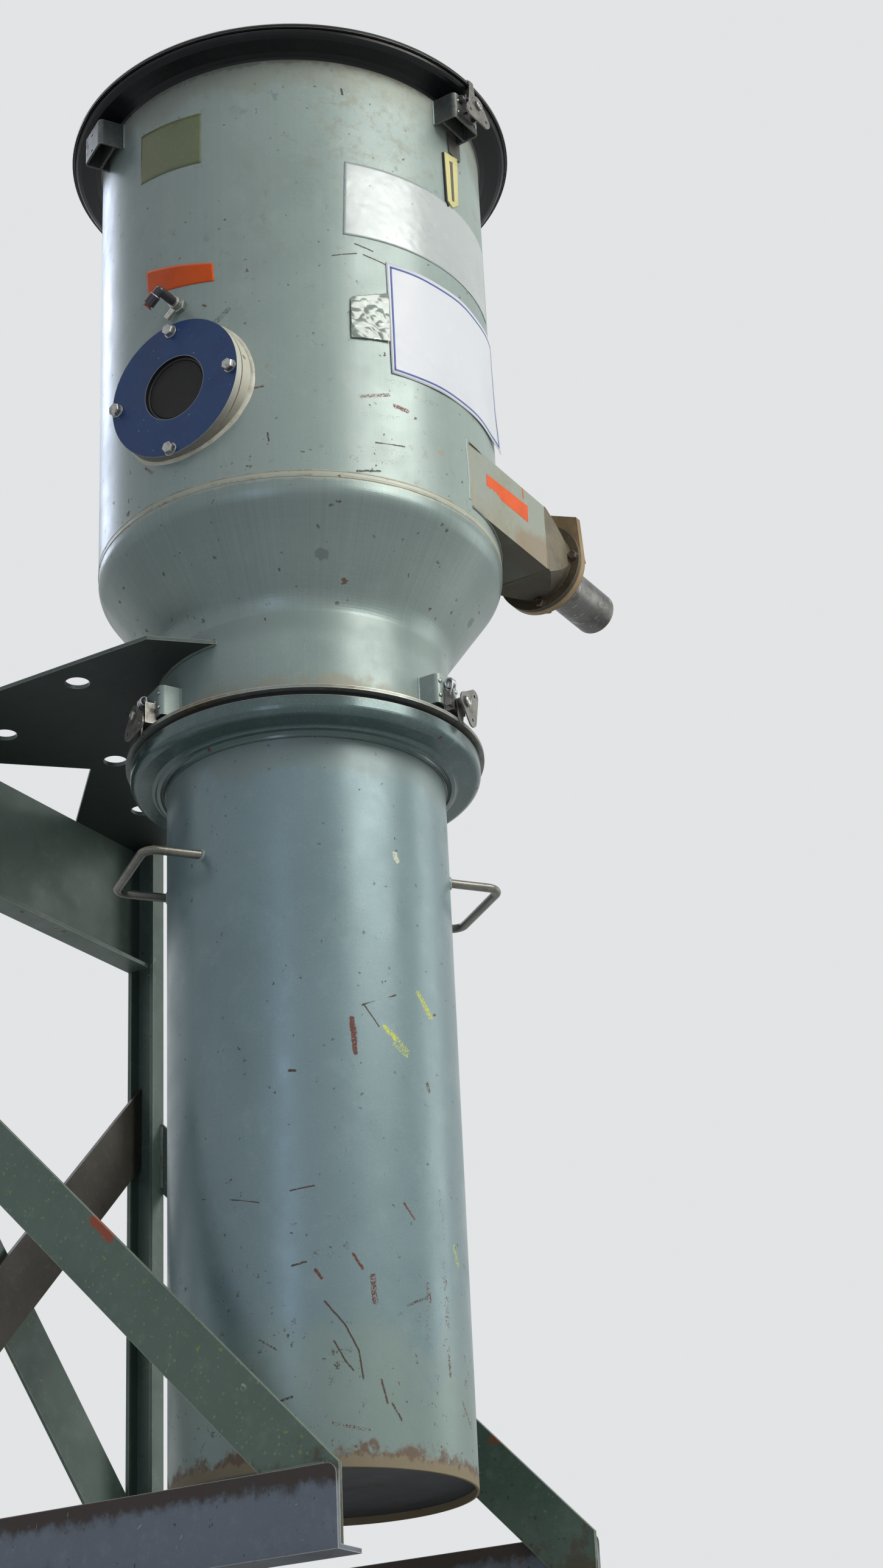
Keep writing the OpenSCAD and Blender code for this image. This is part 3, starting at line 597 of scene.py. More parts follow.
addLook("port_blue", "143C70 0F315F 285384", toneScale=6, grain=0.2, rough=0.42, specular=0.35,
        glossSpread=0.16, bump=0.35, coat=0.1, layers=[
    patches((11, 0.32, 0.3, 1.5), "3D5068", 0.5, 0.45),
    scratches((26, 0.006, 0.14), "7C8CA3", 0.55, 0.6),
    specks((110, 0.22, 0.16), "9AA3AE", 0.5, 0.7),
    facing(((-1, 0, 0), 0.75, 0.35), "C9C9BC", 0.5),
    # painted shade: faces that look down are darkened
    facing(((0, 0, -1), 0, 0.8), "3F3A31", 0.7, 0.75),
    edges((0.0022, 110, 0.5), "C3C4BA", 0.5),
    zone(((0, 0, portZ), 0.0526, 0.0529, (0, 1, 1)), "8E979D", 0.35),
    zone(((0, 0, portZ), 0.0518, 0.052, (0, 1, 1)), "14161D", 0.5)])
addLook("nipple_metal", "B4B2AA 8F8C84 D2D1CC", toneScale=30, rough=0.28, glossSpread=0.2, metal=0.95,
        layers=[
    patches((60, 0.35), "6C6558", 0.55, 0.6)])
addLook("elbow_plastic", "2A262D 1C1A1F 423C44", toneScale=30, rough=0.32, layers=[
    scratches((60, 0.01, 0.2), "77747A", 0.5, 0.6)])
addLook("inlet_paint", "949B90 8C866F ACAE9D", like=greyGreen, toneScale=7, toneAmount=0.8, rough=0.42,
        metal=0.08, layers=[
    patches((9, 0.5, 0.3, 2.7), "A2957A", 0.6, 0.7, metal=0),
    stroke(((0.228, -0.305, 1.4), (0.16, -0.305, 1.386), 0.045, 1, 0.14), "8E7558", 0.7, 0.6, metal=0),
    # painted shade: faces that look down are darkened
    facing(((0, 0, -1), 0.4, 0.9), "2E2E28", 0.75, 0.8, metal=0),
    scratches((20, 0.005, 0.16), strength=0.7, **darkScratch),
    edges((0.0015, 50, 0.3), "A39A84", 0.6, metal=0)])
addLook("inlet_flange", "534836 383026 786B54", toneScale=11, toneAmount=0.8, rough=0.6, glossSpread=0.2,
        metal=0.15, bump=0.7, layers=[
    # painted shade: faces that look down are darkened
    facing(((0, 0, -1), 0.1, 0.9), "2B2720", 0.8, 0.6),
    patches((18, 0.4, 0.2), "5B3F29", 0.8, 0.6),
    edges((0.002, 60, 0.5), "9A8A72", 0.5, metal=0.4)])
addLook("reducer", "726A57 554D3F 8B826D", like=looks["inlet_flange"], rough=0.52, layers=[
    patches((14, 0.4, 0.25), "6A5844", 0.7, 0.6),
    # painted shade: faces that look down are darkened
    facing(((0, 0, -1), 0.1, 0.8), "2E2A23", 0.8, 0.7),
    edges((0.002, 60, 0.4), "A99F88", 0.5)])
addLook("inlet_plate", "97805C 755D42 B09A76", like=looks["inlet_flange"], rough=0.55, layers=[
    patches((16, 0.35, 0.2), "6B4A2F", 0.8, 0.6),
    edges((0.003, 40, 0.8), "4A2D22", 0.7)])
addLook("tube_steel", "6A6967 484643 92918E", toneScale=12, toneAmount=0.8, rough=0.4, glossSpread=0.25,
        metal=0.8, bump=0.4, layers=[
    patches((20, 0.4, 0.2, 0, (2.5, 1, 1)), "4A3C30", 0.7, 0.75, metal=0.1),
    patches((26, 0.34, 0.1, 4, (4, 1, 1)), "B8B7B3", 0.3, 0.7),
    scratches((30, 0.01, 0.24, 0, (3, 1, 1)), "C4C3BF", 0.35, 0.7),
    edges((0.0015, 60, 0.6), "C2C1BC", 0.3, metal=0.95)])
addLook("plate_paint", "4A5752 38423F 6C7A74", like=standGreen, layers=[
    # painted shade: faces that look down are darkened
    facing(((0, 0, -1), 0.3, 0.9), "1F2424", 0.6, 0.8),
    patches((6, 0.36, 0.3), "4A4C45", 0.7, 0.5),
    specks((60, 0.3, 0.3, 0.9), "2F2C28", 0.7, 0.6),
    edges((0.0022, 30, 0.6), "8F958C", 0.45, metal=0.3)])
addLook("stand_paint", "5B6B62 485A52 76897D", like=standGreen, layers=[
    patches((8, 0.3, 0.25), "4D5A52", 0.6, 0.5),
    specks((70, 0.3, 0.25, 0.9), strength=0.8, **flyRust),
    scratches((14, 0.004, 0.15, 0, (1, 1, 0.5)), strength=0.5, **paleScratch),
    band((-0.135, 0.02, 24, 0.8), "5A4636", 0.75, 0.6, metal=0),
    edges((0.0018, 45, 0.6), "A8AC9E", 0.45, metal=0.4)])
addLook("rail_paint", "68727E 565E69 858E99", like=standGreen, layers=[
    band((-0.041, -0.092, 34, 0.5), "3B312A", 0.75, 0.95, metal=0, height=0.4),
    patches((20, 0.34, 0.15), "6A4032", 0.8, 0.6, metal=0),
    scratches((20, 0.006, 0.2), strength=0.6, **paleScratch),
    specks((80, 0.3, 0.3, 0.9), "2F2A24", 0.7, 0.8),
    edges((0.0022, 40, 0.7), "BFC1BE", 0.4, metal=0.5)])
addLook("brace_paint", "596C61 485A52 76897D", like=standGreen, layers=[
    patches((12, 0.42, 0.3), "465248", 0.6, 0.6),
    specks((150, 0.34, 0.5, 1), "84977A", 0.6, 0.6),
    specks((95, 0.34, 0.35, 1.2), "8E9A3E", 0.6, 0.7),
    scratches((16, 0.004, 0.15), strength=0.5, **paleScratch),
    band((-0.135, 0.03, 26, 0.9), "4F4433", 0.75, 0.75, metal=0),
    specks((120, 0.28, 0.2, 1.2), "39352C", 0.7, 0.8),
    stroke(((low("brace_left").x, 0.1356, 0.3196), (low("brace_left").x, 0.1097, 0.2906), 0.009, 0.8),
           "A4492A", 0.6, 0.9),
    stroke(((low("brace_right").x, -0.0799, 0.1016), (low("brace_right").x, -0.1067, 0.1052), 0.009, 0.7),
           "8E4A2C", 0.6, 0.85),
    stroke(((low("brace_right").x, -0.1067, 0.1052), (low("brace_right").x, -0.1279, 0.1307), 0.007, 0.6),
           "8E4A2C", 0.6, 0.85),
    edges((0.0018, 45, 0.72), "C7C5B4", 0.45, metal=0.3)])
addLook("rear_brace_dark", "4A453C 37332D 6A655A", toneScale=9, toneAmount=0.7, rough=0.55, metal=0.3,
        bump=0.6, layers=[
    patches((14, 0.4, 0.25), "5A4331", 0.8, 0.6, metal=0),
    edges((0.0018, 45, 0.6), "8B8577", 0.5, metal=0.4)])
addLook("seamBead", "A5AA9B 8B8470 C6C9BC", like=greyGreen, toneScale=18, toneAmount=0.8, rough=0.45,
        metal=0.1, dent=0, layers=[
    patches((14, 0.36, 0.12), "6E5A45", 0.7, 0.7),
    specks((70, 0.34, 0.3, 0.9), "4A2F20", 0.8)])
addLook("creamBead", "C9C7B8 A5A08B DEDCCF", toneScale=22, toneAmount=0.8, rough=0.5, bump=0.5, layers=[
    patches((26, 0.34, 0.16), "8A7F66", 0.7, 0.6)])
addLook("greenBead", "93A29B 7A8C89 B0BDB6", like=greyGreen, toneScale=20, toneAmount=0.7, rough=0.45,
        metal=0.15, dent=0, layers=[
    patches((22, 0.36, 0.14), "6F6653", 0.7, 0.6)])
addLook("standBead", "5F6A62 485A52 76897D", like=standGreen, toneScale=20, layers=[
    patches((22, 0.42, 0.14), "5A4534", 0.8, 0.7)])
addLook("boltZinc", "A3A5A2 6E6C66 CFD1CE", toneScale=60, toneAmount=0.8, rough=0.3, glossSpread=0.2,
        metal=0.9, bump=0.25, layers=[
    patches((90, 0.4, 0.16), "5A4A3A", 0.65, 0.65, metal=0.3),
    edges((0.0006, 120, 0.6), "DFE1DE", 0.25)])
addLook("boltRust", "54493F 382F29 7A6C5E", toneScale=60, toneAmount=0.8, rough=0.5, metal=0.4, bump=0.5,
        layers=[
    patches((90, 0.4, 0.16), "5E3A26", 0.75, metal=0),
    edges((0.0006, 120, 0.6), "9A9186", 0.35)])
addLook("springSteel", "A2A4A8 66676C CFD0D3", toneScale=80, toneAmount=0.7, rough=0.28, metal=0.95,
        bump=0.15, layers=[
    patches((110, 0.34, 0.2), "5B5148", 0.5, 0.6)])
addLook("releaseRing", "8A3F30 6A2D22 A5584A", toneScale=60, rough=0.4, bump=0.3, layers=[
    patches((90, 0.3), "5A3A30", 0.6, 0.5)])
addLook("orangeLabel", "E35A18 CC4E18 F0742F", toneScale=16, grain=0.1, specular=0.3, rough=0.45, layers=[
    patches((30, 0.3, 0.3), "B4552F", 0.6, 0.5),
    scratches((50, 0.01, 0.14), "E7A27E", 0.6, 0.6)])
addLook("oliveTape", "6E7752 5C6546 868D66", toneScale=12, grain=0.25, rough=0.4, bump=0.3, layers=[
    scratches((30, 0.012, 0.2), "8E9573", 0.5, 0.5)])
addLook("whiteSheet", "DADDE4 CED2DB E6E8EE", toneScale=5, toneAmount=0.5, grain=0.05, rough=0.42, bump=0.12,
        dent=0.8, dentScale=12, layers=[
    patches((9, 0.22, 0.3), "C2C4C8", 0.5, 0.35)])
addLook("blueBorder", "4C63A8 3F5598 6A80BC", toneScale=30, rough=0.45, bump=0.1, layers=[
    scratches((60, 0.01, 0.12), "8D9BC4", strength=0.6)])
addLook("paleLabel", "B4BCBC A6AEAF C9CFCE", toneScale=7, grain=0.1, rough=0.3, glossSpread=0.16, metal=0.1,
        coat=0.12, coatRough=0.16, dent=2.4, dentScale=26, layers=[
    scratches((22, 0.006, 0.2), "8D9494", 0.5, 0.7),
    specks((90, 0.24, 0.2, 0.8), "6F7168", strength=0.7)])
addLook("clearTape", "84908A 757F76 9AA49C", toneScale=20, grain=0.1, rough=0.2, metal=0.1, bump=0.1,
        coat=0.3, layers=[
    # painted glints: pale lines on the tape's creases
    scratches((26, 0.02, 0.4), "D3D8D2", 0.3, 0.8)])
addLook("yellowStrip", "CFC98A B9B075 E2DCA6", toneScale=18, rough=0.5, bump=0.3, layers=[
    patches((40, 0.3, 0.2), "8D8660", 0.6, 0.6),
    edges((0.001, 90, 0.5), "6E6549", 0.6)])
# a grey for the strip's dark slot, and for the sheet that paints the lid bracket's shadow
addLook("shadowAndSlotGrey", "5A5650 46423D 7A766E", toneScale=24, toneAmount=0.7, rough=0.5, metal=0.3, bump=0.4,
        layers=[
    patches((40, 0.36), "4B3A2C", 0.7, 0.6)])
addLook("darkSlot", "22211F 161514 35332F", toneScale=60, rough=0.6)


def newMaterial(name):
    material = bpy.data.materials.new(name)
    material.use_nodes = True
    return material, material.node_tree, material.node_tree.nodes["Principled BSDF"]


def buildFinish(name, look):
    # one finish: a coat, then layers over it in order, each with its own colour, gloss and height
    material, tree, shader = newMaterial(name + "_finish")
    at = objectPoint(tree)
    base, shade, light = (tint(code) for code in look["colours"])
    colour = put(tree, "Group", {"node_tree": effects["uneven coat"]}, {
        "Base": base, "Shade": shade, "Light": light, "Scale": look["toneScale"],
        "Amount": look["toneAmount"], "Grain": look["grain"]})[0]
    spread = look["glossSpread"] / 2
    rough = put(tree, "MapRange", {}, {
        "Value": noise(at, look["glossScale"], 5, 0.65), "From Min": 0.3, "From Max": 0.7,
        "To Min": look["rough"] - spread, "To Max": look["rough"] + spread})[0]
    metal = look["metal"]
    height = times(noise(at, look["bumpScale"], 3, 0.6), look["bump"])
    if look["dent"]:  # slow waves in the sheet
        height = plus(height, times(noise(at, look["dentScale"], 2, 0.5), look["dent"]))
    shared = {}
    if any(layer["effect"] == "stroke" for layer in look["layers"]):
        shared["stroke"] = {"Push": centred(noise(at, look["strokeScale"], 3, output="Color")),
                            "Grain": noise(at, look["strokeScale"] * 3, 3, 0.7)}

    def maskOf(layer):
        values = {**layer["values"], **shared.get(layer["effect"], {})}
        return put(tree, "Group", {"node_tree": effects[layer["effect"]]}, values)[0]

    for layer in look["layers"]:
        mask = maskOf(layer)
        if "within" in layer:
            mask = times(mask, maskOf(layer["within"]))
        mask = times(mask, layer["strength"])
        colour = mixColour(mask, colour, tint(layer["colour"]))
        if layer["rough"]:
            rough = mixValue(mask, rough, layer["rough"])
        if "metal" in layer:
            metal = mixValue(mask, metal, layer["metal"])
        if "height" in layer:
            height = plus(height, times(mask, layer["height"]))
    bump = put(tree, "Bump", {}, {"Height": height, "Strength": look["bumpStrength"],
                                  "Distance": look["bumpDistance"]})[0]
    feed(shader, {"Base Color": colour, "Roughness": rough, "Normal": bump, "Metallic": metal,
                  "Coat Weight": look["coat"], "Coat Roughness": look["coatRough"],
                  "Specular IOR Level": look["specular"]})
    return material


def makeWindow():  # a dark clouded pane with a fine woven screen behind it
    look = {"base": "101012", "mesh": "242223", "cloud": "2E2826", "cloudScale": 24, "pitch": 0.0021,
            "cover": 0.55, "rough": 0.3, "roughCloud": 0.5, "specular": 0.22, "bump": 0.35, "deep": 0.0004}
    material, tree, shader = newMaterial("port_glass_finish")
    at = put(tree, "SeparateXYZ", {}, {0: objectPoint(tree)})
    waves = [calc("SINE", times(at[axis], 2 * math.pi / look["pitch"])) for axis in (1, 2)]
    wires = smooth(calc("MAXIMUM", *waves), 0.35, 0.85)
    cloud = noise(objectPoint(tree), look["cloudScale"], 5, 0.65)
    colour = mixColour(times(wires, look["cover"]), tint(look["base"]), tint(look["mesh"]))
    colour = mixColour(smooth(cloud, 0.45, 0.8), colour, tint(look["cloud"]))
    bump = put(tree, "Bump", {}, {"Height": wires, "Strength": look["bump"], "Distance": look["deep"]})[0]
    feed(shader, {"Base Color": colour, "Roughness": mixValue(cloud, look["rough"], look["roughCloud"]),
                  "Specular IOR Level": look["specular"], "Normal": bump})
    return material


coats = {name: buildFinish(name, values) for name, values in looks.items()}
coats["port_glass"] = makeWindow()
print("finishes built:", len(coats))

coatOf = {  # the solids that wear each finish
    "lid_paint": "lid", "gasket": "lid_gasket can_gasket", "rim_paint": "body_rim",
    "vessel_paint": "body_shell", "cone_paint": "cone", "neck_paint": "neck", "flange_steel": "neck_flange",
    "rolled_rim_paint": "can_rim", "can_paint": "can_shell", "can_underside": "can_bottom",
    "handle_steel": "can_handle_left can_handle_right", "lid_bracket": "lid_latch_brackets",
    "bracket_paint": "neck_latch_brackets",
    "latch_steel": "lid_latches neck_latches", "stub_paint": "port_stub", "port_gasket": "port_gasket",
    "port_blue": "port_cover", "port_glass": "port_window", "nipple_metal": "air_nipple",
    "elbow_plastic": "air_elbow", "inlet_paint": "inlet_duct", "reducer": "inlet_reducer",
    "inlet_flange": "inlet_flange", "inlet_plate": "inlet_plate", "tube_steel": "inlet_tube",
    "plate_paint": "mounting_plate", "stand_paint": "cross_plate column_left column_right rear_base_angle",
    "rail_paint": "rail_left rail_right", "brace_paint": "brace_left brace_right rear_brace_back",
    "rear_brace_dark": "rear_brace_front",
}
for coat, nodes in coatOf.items():
    for node in nodes.split():
        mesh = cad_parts[node].data
        mesh.materials.clear()
        mesh.materials.append(coats[coat])
print("solids dressed")


def weldBead(name, points, outward, width, coat, closed=False, pitch=0.0035, ripple=0.16, flatten=0.55,
             seed=1):
    # a welded bead: overlapping ripples with an uneven toe, half sunk in what it joins
    drifts, sway = 12, 0.18  # how many steps a drift of the width lasts, and its share
    chance = random.Random(seed)
    line = resample(points, pitch / 3, closed)
    drift = [chance.uniform(-1, 1) for _ in range(len(line) // drifts + 3)]
    radii = []
    for i in range(len(line)):
        k = i // drifts
        lean = drift[k] + (drift[k + 1] - drift[k]) * (i / drifts - k)
        radii.append(width / 2 * (1 + ripple * abs(math.sin(math.pi * i / 3)) - ripple / 2 + sway * lean))
    if closed:  # the drift meets itself at the end
        for i in range(drifts):
            radii[-1 - i] = radii[-1 - i] * (i / drifts) + radii[0] * (1 - i / drifts)
    normals = [outward(p) for p in line]
    addPiece(name, coat, lambda work: sweepTube(work, line, radii, 8, closed, flatten, normals))


def tilted(*way):  # outward from the wall, leaning by this much
    return lambda p: (radial(p) + Vector(way)).normalized()


def always(*way):
    return lambda p: Vector(way).normalized()


def addHexBolt(name, point, out, size, coat, turn=0):
    # a washer, a chamfered hexagon head and its dished top, on a face at point that looks along out
    place = placeAt(point, out)
    r, t, h = size["washerR"], size["washerThick"], size["head"]

    def build(work):
        lathe(work, [(0, -0.0004), (r, -0.0004), (r, t * 0.7), (r - 0.0004, t), (0, t)], place, 40)
        levels = [(1, t), (1, t + h * 0.78), (0.93, t + h * 0.93), (0.84, t + h), (0.7, t + h),
                  (0.62, t + h - 0.0005)]
        stack(work, hexagon(size["acrossFlats"], turn), levels, place)

    addPiece(name, coat, build, 28)


def addTurned(name, coat, place, profile, steps=48, sharp=30):  # the profile is in millimetres
    points = [(r / 1000, z / 1000) for r, z in profile]
    addPiece(name, coat, lambda work: lathe(work, points, place, steps), sharp)


# the port's four bolts: their circle, its shift from the window's middle, how each is turned, their size
portBolts = {"circle": 0.1015, "shiftY": 0.006, "shiftZ": -0.0022, "turns": (12, 37, 5, 21),
             "acrossFlats": 0.0165, "head": 0.0088, "washerR": 0.0104, "washerThick": 0.0016}
for k, (y, z) in enumerate(((0, 1), (1, 0), (0, -1), (-1, 0))):
    spot = Vector((portX, y * portBolts["circle"] + portBolts["shiftY"] * (1 - abs(y) * 0.7),
                   portZ + z * portBolts["circle"] + portBolts["shiftZ"]))
    addHexBolt("port_bolt_%d" % (k + 1), spot, (-1, 0, 0), portBolts, "boltZinc",
               portBolts["turns"][k])

# the ring that holds the window in the cover's bore, and the pane's slightly domed front
portFace = placeAt(Vector((portX, 0, portZ)), (-1, 0, 0))
back = -2000 * reach("port_cover", 0)
addTurned("port_window_ring", "darkSlot", portFace, [
    (51.2, back), (51.2, -5.2), (50.6, -4.7), (48.6, -4.9), (47.8, -5.8), (47.8, back), (51.2, back)], 96, 35)
addTurned("port_pane", "port_glass", portFace, [
    (0, -5.2), (23.7, -5.3), (46.4, -5.6), (47.4, -6.4), (47.4, -9), (0, -9)], 96, 35)
print("port fixings made")

# welded beads: the seam, the port, the handles' feet, the inlet and the stand; widths, then where they lie
beads = {"seam": 0.0046, "line": 0.0022, "lineUp": 0.0085, "port": 0.011, "handle": 0.0062, "long": 0.0055,
         "inlet": 0.006, "inletEdge": 0.007, "inletSide": 0.009, "plate": 0.008, "stand": 0.0075,
         "farSide": 80, "discR": 0.0565, "proud": 0.001, "braceWide": 0.080}
weldBead("seam_weld", circleAt((0, 0, seamZ), (0, 0, 1), wallR, 400), radial, beads["seam"],
         "seamBead", closed=True, flatten=0.26, ripple=0.1, seed=3)
weldBead("seam_line", circleAt((0, 0, seamZ + beads["lineUp"]), (0, 0, 1), wallR, 300), radial, beads["line"],
         "seamBead", closed=True, flatten=0.24, ripple=0.06, seed=4)
portLine = [Vector((-math.sqrt(wallR ** 2 - y * y), y, portZ + z))
            for y, z in circle(reach("port_stub", 2) + beads["proud"], 240)]


def portOutward(p):
    return (radial(p) + Vector((0, p.y, p.z - portZ)).normalized() * 0.9).normalized()


weldBead("port_weld", portLine, portOutward, beads["port"], "creamBead", closed=True,
         ripple=0.07, pitch=0.005, flatten=0.45, seed=5)

handles = {"left": 143, "right": -37, "legHalf": 0.080, "proud": 0.0012}
rodR, handleZ = reach("can_handle_left", 2), middle("can_handle_left", 2)
for tag in ("left", "right"):
    out, along = wayOut(handles[tag])
    for side in (-1, 1):
        leg = side * handles["legHalf"]
        line = [along * (leg + x) + out * math.sqrt(canR ** 2 - (leg + x) ** 2) + Vector((0, 0, handleZ + z))
                for x, z in circle(rodR + handles["proud"], 48)]
        foot = along * leg + out * canR
        foot.z = handleZ
        weldBead("handle_weld_%s_%d" % (tag, (side + 3) // 2), line,
                 lambda p: (radial(p) + (p - foot).normalized() * 0.8).normalized(), beads["handle"],
                 "greenBead", closed=True, flatten=0.6, pitch=0.003, seed=6 + side)
# the shells' lengthwise seams are on the side that the photograph doesn't show
for name, radius, bottom, top, coat in (
        ("can_seam", canR, low("can_shell").z + 0.004, low("can_rim").z - 0.002, "can_paint"),
        ("chamber_seam", wallR, seamZ + 0.003, low("body_rim").z - 0.001, "vessel_paint")):
    line = [onWall(beads["farSide"], radius, z) for z in (bottom, top)]
    weldBead(name, line, radial, beads["long"], coat, flatten=0.22, ripple=0.1, seed=8)

# the inlet box: where it leaves the wall, along its top and bottom, and round its end
boxFront, boxLow = low("inlet_duct").y, low("inlet_duct").z
boxEnd, boxHigh = high("inlet_duct").x, high("inlet_duct").z
sideLine = [(-0.006, boxFront + 0.0006, boxLow + 0.01), (-0.003, boxFront + 0.0003, inletZ),
            (-0.006, boxFront + 0.0006, boxHigh + 0.004)]
weldBead("inlet_weld_side", [Vector(p) for p in sideLine], radial, beads["inletSide"],
         "vessel_paint", flatten=0.3, seed=9)
for name, z, up in (("inlet_weld_top", boxHigh, 1), ("inlet_weld_bottom", boxLow, -1)):
    line = [Vector((x, -math.sqrt(wallR ** 2 - x * x), z)) for x in [boxEnd * i / 24 for i in range(25)]]
    weldBead(name, line, tilted(0, 0, up), beads["inletEdge"], "inlet_paint", flatten=0.5,
             seed=10)
wallY = -math.sqrt(wallR ** 2 - boxEnd ** 2)
endLine = [Vector((boxEnd, y, z)) for y, z in ((wallY, boxLow), (boxFront, boxLow), (boxFront, boxHigh),
                                               (wallY, boxHigh))]


def boxOutward(p):
    y, z = p.y - inletY, p.z - inletZ
    return Vector((0, 0, math.copysign(1, z))) if abs(z) > abs(y) else Vector((0, -1, 0))


weldBead("inlet_weld_end", endLine, boxOutward, beads["inlet"], "reducer", flatten=0.35,
         seed=11)
tubeR = reach("inlet_tube", 2) + beads["proud"]
for name, x, r, side in (("inlet_disc_weld", low("inlet_flange").x - 0.0004, beads["discR"], -1),
                         ("inlet_tube_weld", low("inlet_tube").x + 0.0006, tubeR, 1)):
    centre = Vector((x, inletY, inletZ))
    weldBead(name, circleAt(centre, (1, 0, 0), r, 120),
             lambda p: ((p - centre).normalized() + Vector((side, 0, 0))).normalized(), beads["inlet"],
             "inlet_flange", closed=True, flatten=0.7, seed=12)

# the mounting plate on the neck, the bars on the rails and columns
for name, z, up in (("plate_weld_low", low("mounting_plate").z, -1),
                    ("plate_weld_top", high("mounting_plate").z, 1)):
    line = [onWall(2 + 176 * i / 90, neckR + beads["proud"], z) for i in range(91)]
    weldBead(name, line, tilted(0, 0, up), beads["plate"], "standBead", flatten=0.6, seed=13)
wide = beads["braceWide"] * math.sqrt(2)  # a brace's end, cut level or upright
for side, tag in ((-1, "left"), (1, "right")):
    a, b = low("brace_" + tag), high("brace_" + tag)
    inner = a.x if side > 0 else b.x
    railTop, columnFace = high("rail_right").z, low("column_right").y - 0.0005
    foot = [Vector((inner + side * 0.006, y, railTop)) for y in (a.y + 0.02, a.y + wide - 0.004)]
    head = [Vector((inner, columnFace, z)) for z in (b.z - wide + 0.006, b.z - 0.006)]
    for end, line, way, seed in (("foot_", foot, (-side, 0, 1), 14), ("head_", head, (-side, -1, 0), 15)):
        weldBead("brace_weld_" + end + tag, line, always(*way), beads["stand"], "standBead",
                 flatten=0.7, seed=seed)
print("welds made")


def wallSheet(name, corners, coat, cells, thick=0.0003, rise=0.0002, ragged=0.0, crease=0.0,
              creaseScale=60.0, lift=None):
    # a thin sheet stuck on the wall; corners are (angle, height) from the top left, clockwise from outside
    across, down = cells

    def spotAt(i, j, under):
        u, v = i / across, j / down
        if ragged and (i in (0, across) or j in (0, down)):
            pull = ragged * (0.5 + cloudAt(Vector((u * 23, v * 17, len(name)))))
            u, v = u + pull * (0.5 - u), v + pull * (0.5 - v)
        top, foot = ([a + (b - a) * u for a, b in zip(*ends)] for ends in (corners[:2], corners[:1:-1]))
        angle, z = (a + (b - a) * v for a, b in zip(top, foot))
        r = wallR + rise + (0 if under else thick)
        if crease:
            spot = onWall(angle, wallR, z) * creaseScale
            r += crease * (0.5 + 0.5 * cloudAt(spot) + 0.5 * abs(cloudAt(spot * 2.3)))
        return onWall(angle, r + (lift(u, v) if lift else 0), z)

    def build(work):
        front, back = ([[work.verts.new(spotAt(i, j, under)) for i in range(across + 1)]
                        for j in range(down + 1)] for under in (False, True))
        for j in range(down):
            for i in range(across):
                work.faces.new([front[j][i], front[j + 1][i], front[j + 1][i + 1], front[j][i + 1]])
                work.faces.new([back[j][i], back[j][i + 1], back[j + 1][i + 1], back[j + 1][i]])
        loop = [(0, i) for i in range(across)] + [(j, across) for j in range(down)]
        loop += [(down, i) for i in range(across, 0, -1)] + [(j, 0) for j in range(down, 0, -1)]
        for (j, i), (m, n) in zip(loop, loop[1:] + loop[:1]):
            work.faces.new([front[j][i], front[m][n], back[m][n], back[j][i]])

    addPiece(name, coat, build)


# labels and tape, by the wall's angle in degrees and height in metres; all are left plain
labels = {
    "orange": [(166.9, 1.783), (190.7, 1.745), (191.0, 1.712), (167.8, 1.733)],
    "tape": [(164.5, 2.045), (187.4, 2.030), (187.3, 1.936), (164.2, 1.953)],
    "sheet": [(-119.7, 1.748), (-64.9, 1.748), (-64.5, 1.551), (-119.3, 1.551)],
    "pale": [(-131.1, 1.918), (-66.5, 1.918), (-67.5, 1.783), (-132.2, 1.783)],
    "crinkled": [(-130.9, 1.670), (-119.3, 1.692), (-119.4, 1.604), (-131.1, 1.598)],
}


curl = {"from": 0.62, "rest": 0.0006, "end": 0.0055, "corner": 0.006, "cornerFrom": 0.6, "wave": 0.001}


def sheetLift(u, v):  # the right end stands off the wall, its lower corner most
    end = max(0.0, (u - curl["from"]) / (1 - curl["from"]))
    return (curl["rest"] + curl["end"] * end ** 2 * (0.5 + 0.5 * v)
            + curl["corner"] * max(0.0, end * v - curl["cornerFrom"])
            + curl["wave"] * math.sin(9 * u + 2 * v) ** 2)


def onSheet(u, v):  # a spot on the white sheet, by its share across and down
    sheet = labels["sheet"]
    return sheet[0][0] + (sheet[1][0] - sheet[0][0]) * u, sheet[0][1] + (sheet[3][1] - sheet[0][1]) * v


wallSheet("orange_label", labels["orange"], "orangeLabel", (30, 10), ragged=0.01)
wallSheet("olive_tape", labels["tape"], "oliveTape", (30, 14), ragged=0.02, crease=0.0003)
wallSheet("pale_label", labels["pale"], "paleLabel", (90, 30), crease=0.0004, creaseScale=90)
wallSheet("white_sheet", labels["sheet"], "whiteSheet", (72, 28), lift=sheetLift)
borders = {"top": (0.022, 0.030, 0.978, 0.046), "foot": (0.022, 0.954, 0.978, 0.970),
           "left": (0.022, 0.046, 0.032, 0.954), "right": (0.968, 0.046, 0.978, 0.954)}
for side, (u0, v0, u1, v1) in borders.items():
    wallSheet("sheet_border_" + side, [onSheet(u0, v0), onSheet(u1, v0), onSheet(u1, v1), onSheet(u0, v1)],
              "blueBorder", (72, 1) if side in ("top", "foot") else (1, 28), thick=0.00015,
              rise=0.0006, lift=lambda u, v: sheetLift(u0 + (u1 - u0) * u, v0 + (v1 - v0) * v))
wallSheet("crinkled_tape", labels["crinkled"], "clearTape", (60, 44), rise=0.0003,
          ragged=0.03, crease=0.0036, creaseScale=34)
print("labels made")

